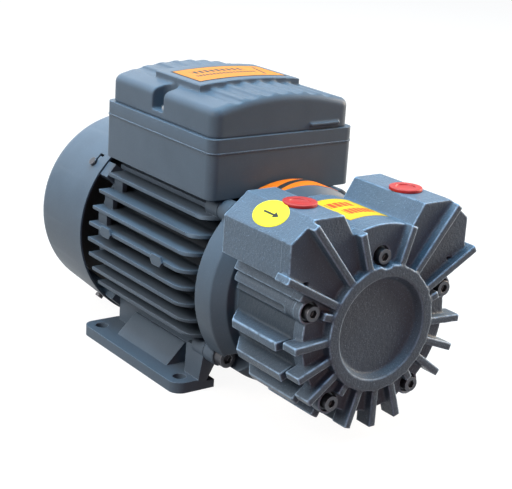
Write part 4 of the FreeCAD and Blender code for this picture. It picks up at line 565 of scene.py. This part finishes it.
PAD_LEVEL = 90.9 * MM
PAD_STATIONS = (-36.5, 35.0)
PAD_OUTLINE = ((-7.9, 0), (-5.2, -3.8), (5.2, -3.8), (7.9, 0), (5.2, 3.8), (-5.2, 3.8))
PAD_FACES = (75.8 * MM, 78.0 * MM)
BLOCK_X = 68 * MM
BLOCK_Y = 36 * MM
BLOCK_HALF = 6.5 * MM
BLOCK_RISE = (1.4 * MM, 3.9 * MM)
FIN_HALF = 1.29 * MM

PILLAR_FOOT = 6.5 * MM
PILLAR_REAR, PILLAR_FRONT = -57 * MM, -67.9 * MM
PILLAR_OUTER, PILLAR_INNER = 58.2 * MM, 51 * MM
PILLAR_MIDDLE = 40 * MM


def plate_height(x):
    return PLATE_TOP - crown_drop(x, PLATE_RADIUS) * PLATE_BEND


def flatter_plate(point):
    """Lifts the ends of the lid's raised plate, which is flatter than the lid."""
    over = point.z - (LID_TOP - crown_drop(point.x, LID_RADIUS))
    on_plate = abs(point.x) < PLATE_HALF and PLATE_FRONT < point.y < PLATE_REAR
    if over > PLATE_STEP and on_plate:
        return Vector((point.x, point.y, plate_height(point.x)))
    return point


def flute_ends():
    """Cutter that carries the lid's flutes out through its front and rear edges."""
    work = bmesh.new()
    bottom = math.sqrt(FLUTE_RADIUS ** 2 - FLUTE_HALF ** 2)
    for rank in range(-3, 4):
        middle = rank * FLUTE_PITCH
        top = LID_TOP - crown_drop(middle, LID_RADIUS)
        above = top + FLUTE_CLEAR
        outline = [(middle + FLUTE_HALF, above), (middle - FLUTE_HALF, above)]
        for step in range(-6, 7):
            x = FLUTE_HALF * step / 6
            outline.append((middle + x, top + bottom - math.sqrt(FLUTE_RADIUS ** 2 - x * x)))
        corners = [lambda y, spot=spot: (spot[0], y, spot[1]) for spot in outline]
        for low, high in FLUTE_ENDS:
            prism(work, corners, low, high)
    cutter = bpy.data.objects.new("flute_ends", made_mesh("flute_ends", work))
    bpy.context.scene.collection.objects.link(cutter)
    return cutter


def trimmed_frame(point):
    """Thins the blocks behind the fin pads, and slants the pillars down to the foot plates."""
    x, y, z = point
    rise = z - PAD_LEVEL
    near_pad = abs(x) > BLOCK_X and abs(abs(y) - BLOCK_Y) < BLOCK_HALF
    if near_pad and BLOCK_RISE[0] < abs(rise) < BLOCK_RISE[1]:
        return Vector((x, y, PAD_LEVEL + math.copysign(FIN_HALF, rise)))
    if z < PILLAR_FOOT and y < PILLAR_REAR and abs(x) < PILLAR_OUTER:
        across = abs(x) if abs(x) >= PILLAR_MIDDLE else PILLAR_INNER
        return Vector((math.copysign(across, x), max(y, PILLAR_FRONT), z))
    return point


def pad_plates():
    """Flat six-sided pads on one fin of each side."""
    work = bmesh.new()
    for station in PAD_STATIONS:
        spots = [((station + y) * MM, PAD_LEVEL + z * MM) for y, z in PAD_OUTLINE]
        corners = [lambda x, spot=spot: (x, *spot) for spot in spots]
        for side in (-1, 1):
            prism(work, corners, side * PAD_FACES[0], side * PAD_FACES[1])
    return made_mesh("fin_pads", work)


# Sizes and colours a user would change


def paint_colour(name, description, colour):
    """A colour in the panel."""
    return FloatVectorProperty(
        name=name,
        description=description,
        subtype="COLOR",
        size=4,
        min=0.0,
        max=1.0,
        default=(*colour, 1.0),
    )


class VanePumpPaint(bpy.types.PropertyGroup):
    frame_colour: paint_colour(
        "Motor paint", "Enamel of the motor frame, terminal box and fan cowl", (0.084, 0.114, 0.150)
    )
    pump_colour: paint_colour(
        "Pump paint", "Enamel of the pump castings", (0.092, 0.130, 0.176)
    )
    plug_colour: paint_colour(
        "Port plugs", "Soft plastic of the port plugs", (0.40, 0.008, 0.006)
    )
    yellow: paint_colour(
        "Port sticker", "Ground of the round sticker at the port", (0.95, 0.80, 0.035)
    )
    orange: paint_colour(
        "Orange band", "Ground of the bell's band", (0.86, 0.18, 0.007)
    )
    golden: paint_colour(
        "Cylinder label", "Ground of the label between the port blocks", (0.78, 0.45, 0.013)
    )
    amber: paint_colour(
        "Lid label", "Ground of the label on the lid", (0.58, 0.185, 0.016)
    )


class VanePumpCasting(bpy.types.PropertyGroup):
    grid: FloatProperty(
        name="Casting grid",
        description="Size of the faces that carry the pump castings' rounded corners",
        unit="LENGTH",
        default=0.75 * MM,
        min=0.4 * MM,
    )
    steps: IntProperty(
        name="Fillet steps",
        description="How far sharp corners of the castings melt into fillets",
        default=3,
        min=0,
    )
    joint_spread: FloatProperty(
        name="Joint spread",
        description="How many times the gasket's thickness the painted joint line fills",
        default=6.0,
        min=1.0,
    )
    edge: FloatProperty(
        name="Edge round",
        description="Round on the edges of the terminal box",
        unit="LENGTH",
        default=0.6 * MM,
        min=0.0,
    )
    fin_edge: FloatProperty(
        name="Fin edge",
        description="Round on the edges of the motor frame and its fins",
        unit="LENGTH",
        default=0.3 * MM,
        min=0.0,
    )


def paint():
    return bpy.context.scene.vane_pump_paint


def casting():
    return bpy.context.scene.vane_pump_casting


# Looks: the glint share sets painted glints on the grain; the edge share sets lighter edges, partly
# rubbed paint and partly painted highlight.
SMOOTH_CASTING = {
    "grain": 0.0012, "relief": 0.00004, "rough": 0.28, "shine": 0.1,
    "edge": 0.0007, "wear_and_highlight": 0.6, "painted_glint_share": 0.12, "dense": False,
}
SAND_CASTING = {
    "grain": 0.0011, "relief": 0.0007, "rough": 0.26, "shine": 0.16,
    "edge": 0.0013, "wear_and_highlight": 1.0, "painted_glint_share": 0.6, "dense": True,
}
# Finned looks add painted shade in the gaps between the fins.
FINNED_CASTING = dict(SMOOTH_CASTING, hollow=(0.060, 0.077), hollow_shade=0.22)
FINNED_SAND = dict(SAND_CASTING, hollow=(0.057, 0.070), hollow_shade=0.4)


def motor_enamel(look=SMOOTH_CASTING):
    return enamel("motor_enamel", paint().frame_colour, look)


def pump_enamel(look=SAND_CASTING):
    return enamel("pump_enamel", paint().pump_colour, look)


def black_oxide():
    # The last number lightens the edges: partly rubbed metal, partly painted highlight.
    return bare_metal("black_oxide", (0.075, 0.078, 0.088, 1.0), 0.36, 0.0008, 0.0007, 3.5)


def seen_background(finish):
    """1 for rays that show the background: from the camera, off gloss or through glass."""
    light_path = finish.node("ShaderNodeLightPath")
    seen = finish.out(light_path, "Is Camera Ray").either(finish.out(light_path, "Is Glossy Ray"))
    return seen.either(finish.out(light_path, "Is Transmission Ray"))


def dress(material, *nodes):
    """Gives CAD nodes their finished material."""
    for node in nodes:
        mesh = frame["nodes"][node].data
        mesh.materials.clear()
        mesh.materials.append(material)


# Operators


class MotorFrameOperator(bpy.types.Operator):
    """Finned motor frame with its feet, and the shield behind it"""

    bl_idname = "vane_pump.motor_frame"
    bl_label = "Motor frame"

    def execute(self, context):
        coat = motor_enamel(FINNED_CASTING)
        edge = casting().fin_edge
        edged_piece("motor_frame", "finned_frame", coat, edge, shape=trimmed_frame)
        plain = motor_enamel()
        new_piece("fin_pads", pad_plates(), plain, body_of("motor_frame"), smooth=False)
        dress(plain, "rear_end_shield")
        return {"FINISHED"}


class BellOperator(bpy.types.Operator):
    """Drive end bell between the motor and the pump"""

    bl_idname = "vane_pump.bell"
    bl_label = "Drive end bell"

    def execute(self, context):
        coat = motor_enamel()
        cast_piece("drive_end_bell", "bell_casting", coat, casting().grid, casting().steps, 0.4)
        return {"FINISHED"}


class CowlOperator(bpy.types.Operator):
    """Pressed fan cowl and the fan behind its grille"""

    bl_idname = "vane_pump.cowl"
    bl_label = "Fan cowl"

    def execute(self, context):
        edged_piece("fan_cowl", "pressed_cowl", motor_enamel(), 0.4 * MM)
        dress(moulded("fan_nylon", (0.03, 0.032, 0.036, 1.0), 0.42), "cooling_fan")
        return {"FINISHED"}


class TerminalBoxOperator(bpy.types.Operator):
    """Terminal box with its fluted lid"""

    bl_idname = "vane_pump.terminal_box"
    bl_label = "Terminal box"

    def execute(self, context):
        coat = motor_enamel()
        edged_piece("terminal_box_base", "box_casting", coat, casting().edge)
        cutter = flute_ends()
        grid = casting().grid
        cast_piece("terminal_box_lid", "fluted_lid", coat, grid, 3, 0.4, flatter_plate, cutter)
        bpy.data.objects.remove(cutter)
        return {"FINISHED"}


class PumpCastingOperator(bpy.types.Operator):
    """Finned pump cylinder and its end cover"""

    bl_idname = "vane_pump.pump_castings"
    bl_label = "Pump castings"

    def execute(self, context):
        coat = pump_enamel()
        grid, steps = casting().grid, casting().steps
        finned = pump_enamel(FINNED_SAND)
        cast_piece("pump_cylinder", "cylinder_casting", finned, grid, steps, 0.4)
        cast_piece("pump_end_cover", "cover_casting", coat, grid * 0.85, steps, 0.5)
        joint = clean_copy("cover_gasket", "painted_joint")
        heights = [vertex.co.y for vertex in joint.vertices]
        middle = (min(heights) + max(heights)) / 2
        for vertex in joint.vertices:
            vertex.co.y = middle + (vertex.co.y - middle) * casting().joint_spread
        # Its edges lighten less: partly rubbed paint, partly painted highlight.
        plain = pump_enamel(dict(SAND_CASTING, dense=False, wear_and_highlight=0.2))
        piece = new_piece("painted_joint", joint, plain, "housing", smooth=False)
        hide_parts("cover_gasket")
        return {"FINISHED"}


class FastenerOperator(bpy.types.Operator):
    """Socket screws, washers and small screws"""

    bl_idname = "vane_pump.fasteners"
    bl_label = "Fasteners"

    def execute(self, context):
        oxide = black_oxide()
        edged_piece("cover_bolts", "cover_screws", oxide, 0.5 * MM)
        edged_piece("bell_bolts", "bell_screws", oxide, 0.5 * MM)
        dress(oxide, "cowl_screws", "joint_screws", "rotor_screw")
        # The last number lightens the washers' edges: partly rubbed metal, partly painted
        # highlight.
        washer = bare_metal("dark_washer", (0.055, 0.06, 0.066, 1.0), 0.34, 0.001, 0.0004, 3.0)
        dress(washer, "cover_washers")
        zinc = bare_metal("zinc_plate", (0.52, 0.53, 0.55, 1.0), 0.28, 0.0007)
        dress(zinc, "shield_screws", "lid_screws", "box_screws", "capacitor_clamp")
        return {"FINISHED"}


class PortPlugOperator(bpy.types.Operator):
    """Soft plugs in the two ports"""

    bl_idname = "vane_pump.port_plugs"
    bl_label = "Port plugs"

    def execute(self, context):
        plastic = moulded("plug_plastic", paint().plug_colour, 0.38, 0.0009, 0.00005)
        for side in ("inlet", "outlet"):
            edged_piece(side + "_plug", side + "_cap", plastic, 0.5 * MM, 3)
        return {"FINISHED"}


STICKER_THICKNESS = 0.15 * MM
CHAMFER_SLOPE = Vector((17.4, 0.0, 14.0))
DISC_CENTRE = Vector((-63.6, -147.3, 153.7)) * MM
DISC_LENGTH, DISC_HEIGHT = 32 * MM, 21.5 * MM
SADDLE_RADIUS = 69.5 * MM
BAND_RADIUS = 72.5 * MM
LID_LABEL_WIDTH = 76 * MM


class StickerOperator(bpy.types.Operator):
    """Plain stickers: port disc, cylinder label, bell band and lid label"""

    bl_idname = "vane_pump.stickers"
    bl_label = "Stickers"

    def execute(self, context):
        ink = (0.02, 0.02, 0.022, 1.0)
        red_ink = (0.60, 0.06, 0.008, 1.0)
        golden, orange, amber = paint().golden, paint().orange, paint().amber
        prints = (
            ("port_disc", self.chamfer_spot, arrow_print, paint().yellow, ink, 20, True),
            ("cylinder_label", self.saddle_spot, bars_print, golden, red_ink, 30, False),
            ("bell_band", self.bell_spot, band_print, orange, ink, 36, False),
            ("lid_label", self.lid_spot, lid_print, amber, ink, 30, False),
        )
        for name, spot, draw, ground, ink_colour, columns, is_round in prints:
            mesh = sheet_mesh(name, spot, columns, columns, STICKER_THICKNESS, is_round)
            new_piece(name, mesh, draw(name + "_print", ground, ink_colour), "housing")
        return {"FINISHED"}

    @staticmethod
    def chamfer_spot(u, v):
        slope = CHAMFER_SLOPE.normalized()
        away = Vector((-slope.z, 0.0, slope.x))
        across = slope * (v - 0.5) * DISC_HEIGHT
        return DISC_CENTRE + across - Vector((0.0, (u - 0.5) * DISC_LENGTH, 0.0)), away

    @staticmethod
    def saddle_spot(u, v):
        return on_shaft_circle(SADDLE_RADIUS, 101 - 27 * u, (-166 + 42 * v) * MM)

    @staticmethod
    def bell_spot(u, v):
        return on_shaft_circle(BAND_RADIUS, 110 - 46 * u, (-97.6 + 18.2 * v) * MM)

    @staticmethod
    def lid_spot(u, v):
        x = (u - 0.5) * LID_LABEL_WIDTH
        away = Vector((x * PLATE_BEND, 0.0, PLATE_RADIUS)).normalized()
        return Vector((x, (-22 + 39 * v) * MM, plate_height(x))), away


class InnerPartsOperator(bpy.types.Operator):
    """Finishes of the shaft, bearings, rotor, vanes, windings and box contents"""

    bl_idname = "vane_pump.inner_parts"
    bl_label = "Inner parts"

    def execute(self, context):
        ground = bare_metal("ground_steel", (0.50, 0.51, 0.53, 1.0), 0.25, 0.0006)
        dress(ground, "motor_shaft", "pump_rotor", "rotor_key", "rotor_washer", "dowel_pins")
        dress(ground, "preload_spring", "fan_clip")
        races = bare_metal("bearing_steel", (0.68, 0.69, 0.72, 1.0), 0.12, 0.0004)
        for end in ("front", "rear"):
            for part in ("outer_race", "inner_race", "balls"):
                dress(races, "%s_bearing_%s" % (end, part))
        stack = laminations("core_sheets", (0.30, 0.31, 0.33, 1.0))
        dress(stack, "stator_core", "rotor_core")
        dress(enamelled_wire("coil_wire", (0.50, 0.20, 0.07, 1.0)), "stator_windings")
        dress(bare_metal("cast_cage", (0.66, 0.67, 0.69, 1.0), 0.4, 0.0012), "rotor_cage")
        dress(bare_metal("plate_iron", (0.30, 0.31, 0.32, 1.0), 0.35, 0.001), "pump_side_plate")
        carbon = moulded("vane_carbon", (0.035, 0.035, 0.037, 1.0), 0.5, 0.0005)
        dress(carbon, "vane_1", "vane_2", "vane_3", "vane_4")
        rubber = moulded("black_rubber", (0.022, 0.022, 0.023, 1.0), 0.6)
        dress(rubber, "shaft_seal", "box_gasket", "lid_gasket", "gland_seal")
        nylon = moulded("gland_nylon", (0.05, 0.056, 0.064, 1.0), 0.42)
        edged_piece("gland_nut", "gland_dome", nylon, 0.4 * MM)
        dress(nylon, "gland_body", "gland_locknut")
        dress(moulded("terminal_resin", (0.34, 0.30, 0.24, 1.0), 0.5), "terminal_block")
        dress(moulded("capacitor_shell", (0.70, 0.70, 0.67, 1.0), 0.3), "run_capacitor")
        dress(bare_metal("post_brass", (0.62, 0.44, 0.17, 1.0), 0.3, 0.0006), "terminal_posts")
        return {"FINISHED"}


FLOOR_SEEN = 0.93
FLOOR_GLOW = 0.09
WORLD_TINT, WORLD_LIGHT = (0.35, 0.45, 1.0, 1.0), 0.08
PLAIN_LIGHT = (1.0, 0.99, 0.98)
LAMPS = (
    ("back_softbox", (0.0, 1.25, 1.05), 1.8, 16.0, PLAIN_LIGHT),
    ("sky_softbox", (0.0, 0.1, 1.7), 1.4, 54.0, (0.43, 0.77, 1.0)),
    ("left_softbox", (-1.2, 0.1, 0.9), 0.9, 21.0, (1.0, 0.93, 0.86)),
    ("right_softbox", (1.4, -0.3, 0.6), 0.9, 46.0, (1.0, 0.81, 0.61)),
    ("front_fill", (-0.2, -1.5, 0.3), 0.9, 4.0, (1.0, 0.40, 0.22)),
)
CAMERA_PLACE = (-0.5582, -0.7966, 0.3900)
CAMERA_RIGHT = (0.81144, -0.58121, 0.06169)
CAMERA_UP = (0.12762, 0.27919, 0.95176)
CAMERA_BACK = (-0.57037, -0.76439, 0.30071)
LENS = 94.74


class StageOperator(bpy.types.Operator):
    """Pale floor, studio lamps and the camera"""

    bl_idname = "vane_pump.stage"
    bl_label = "Stage"

    def execute(self, context):
        self.floor()
        self.world(context.scene)
        for name, spot, size, power, colour in LAMPS:
            self.lamp(name, spot, size, power, colour)
        self.camera(context.scene)
        return {"FINISHED"}

    def floor(self):
        work = bmesh.new()
        bmesh.ops.create_grid(work, x_segments=2, y_segments=2, size=6.0)
        mesh = bpy.data.meshes.new("studio_floor")
        work.to_mesh(mesh)
        work.free()
        finish = Finish("pale_floor")
        tint = finish.noise(0.4, 2.0)
        body = finish.mix(tint, (0.11, 0.11, 0.11, 1.0), (0.12, 0.12, 0.12, 1.0))
        material = finish.set(colour=body, rough=0.8, specular=0.0)
        white = finish.node(
            "ShaderNodeEmission", inputs={"Color": WHITE, "Strength": FLOOR_SEEN}
        )
        glow = finish.node("ShaderNodeEmission", inputs={"Color": WHITE, "Strength": FLOOR_GLOW})
        both = finish.node("ShaderNodeAddShader")
        finish.tree.links.new(finish.surface.outputs[0], both.inputs[0])
        finish.tree.links.new(white.outputs[0], both.inputs[1])
        shown = finish.node("ShaderNodeMixShader", inputs={0: seen_background(finish)})
        finish.tree.links.new(glow.outputs[0], shown.inputs[1])
        finish.tree.links.new(both.outputs[0], shown.inputs[2])
        output = finish.tree.get_output_node("ALL")
        finish.tree.links.new(shown.outputs[0], output.inputs["Surface"])
        floor = bpy.data.objects.new("studio_floor", mesh)
        bpy.context.scene.collection.objects.link(floor)
        mesh.materials.append(material)

    def world(self, scene):
        world = bpy.data.worlds.new("studio")
        scene.world = world
        world.use_nodes = True
        finish = Finish.__new__(Finish)
        finish.tree = world.node_tree
        finish.tree.nodes.clear()
        soft = finish.node(
            "ShaderNodeBackground", inputs={"Color": WORLD_TINT, "Strength": WORLD_LIGHT}
        )
        white = finish.node("ShaderNodeBackground", inputs={"Color": WHITE, "Strength": 1.0})
        mixed = finish.node("ShaderNodeMixShader", inputs={0: seen_background(finish)})
        finish.tree.links.new(soft.outputs[0], mixed.inputs[1])
        finish.tree.links.new(white.outputs[0], mixed.inputs[2])
        output = finish.node("ShaderNodeOutputWorld")
        finish.tree.links.new(mixed.outputs[0], output.inputs[0])

    def lamp(self, name, spot, size, power, colour):
        light = bpy.data.lights.new(name, "AREA")
        light.shape = "SQUARE"
        light.size = size
        light.energy = power
        light.color = colour
        lamp = bpy.data.objects.new(name, light)
        bpy.context.scene.collection.objects.link(lamp)
        lamp.location = spot
        direction = SHAFT - Vector(spot)
        lamp.rotation_euler = direction.to_track_quat("-Z", "Y").to_euler()

    def camera(self, scene):
        lens = bpy.data.cameras.new("photo_camera")
        lens.sensor_width = 36.0
        lens.lens = LENS
        camera = bpy.data.objects.new("photo_camera", lens)
        scene.collection.objects.link(camera)
        turn = Matrix((CAMERA_RIGHT, CAMERA_UP, CAMERA_BACK)).transposed()
        camera.matrix_world = Matrix.Translation(CAMERA_PLACE) @ turn.to_4x4()
        scene.camera = camera
        scene.view_settings.view_transform = "Standard"


PIECE_OPERATORS = (
    MotorFrameOperator,
    BellOperator,
    CowlOperator,
    TerminalBoxOperator,
    PumpCastingOperator,
    FastenerOperator,
    PortPlugOperator,
    StickerOperator,
    InnerPartsOperator,
    StageOperator,
)


class VanePumpPanel(bpy.types.Panel):
    """Lists the pieces and their settings"""

    bl_idname = "VIEW3D_PT_vane_pump"
    bl_label = "Vane pump"
    bl_space_type = "VIEW_3D"
    bl_region_type = "UI"
    bl_category = "Vane pump"

    def draw(self, context):
        for operator in PIECE_OPERATORS:
            self.layout.operator(operator.bl_idname)
        for group in (context.scene.vane_pump_paint, context.scene.vane_pump_casting):
            for field in group.bl_rna.properties:
                if field.identifier not in ("rna_type", "name"):
                    self.layout.prop(group, field.identifier)


CLASSES = (VanePumpPaint, VanePumpCasting, *PIECE_OPERATORS, VanePumpPanel)


def register():
    for item in CLASSES:
        bpy.utils.register_class(item)
    bpy.types.Scene.vane_pump_paint = PointerProperty(type=VanePumpPaint)
    bpy.types.Scene.vane_pump_casting = PointerProperty(type=VanePumpCasting)


def unregister():
    del bpy.types.Scene.vane_pump_casting
    del bpy.types.Scene.vane_pump_paint
    for item in reversed(CLASSES):
        bpy.utils.unregister_class(item)


def main():
    register()
    for operator in PIECE_OPERATORS:
        getattr(bpy.ops.vane_pump, operator.bl_idname.split(".")[1])()


if __name__ == "__main__":
    main()
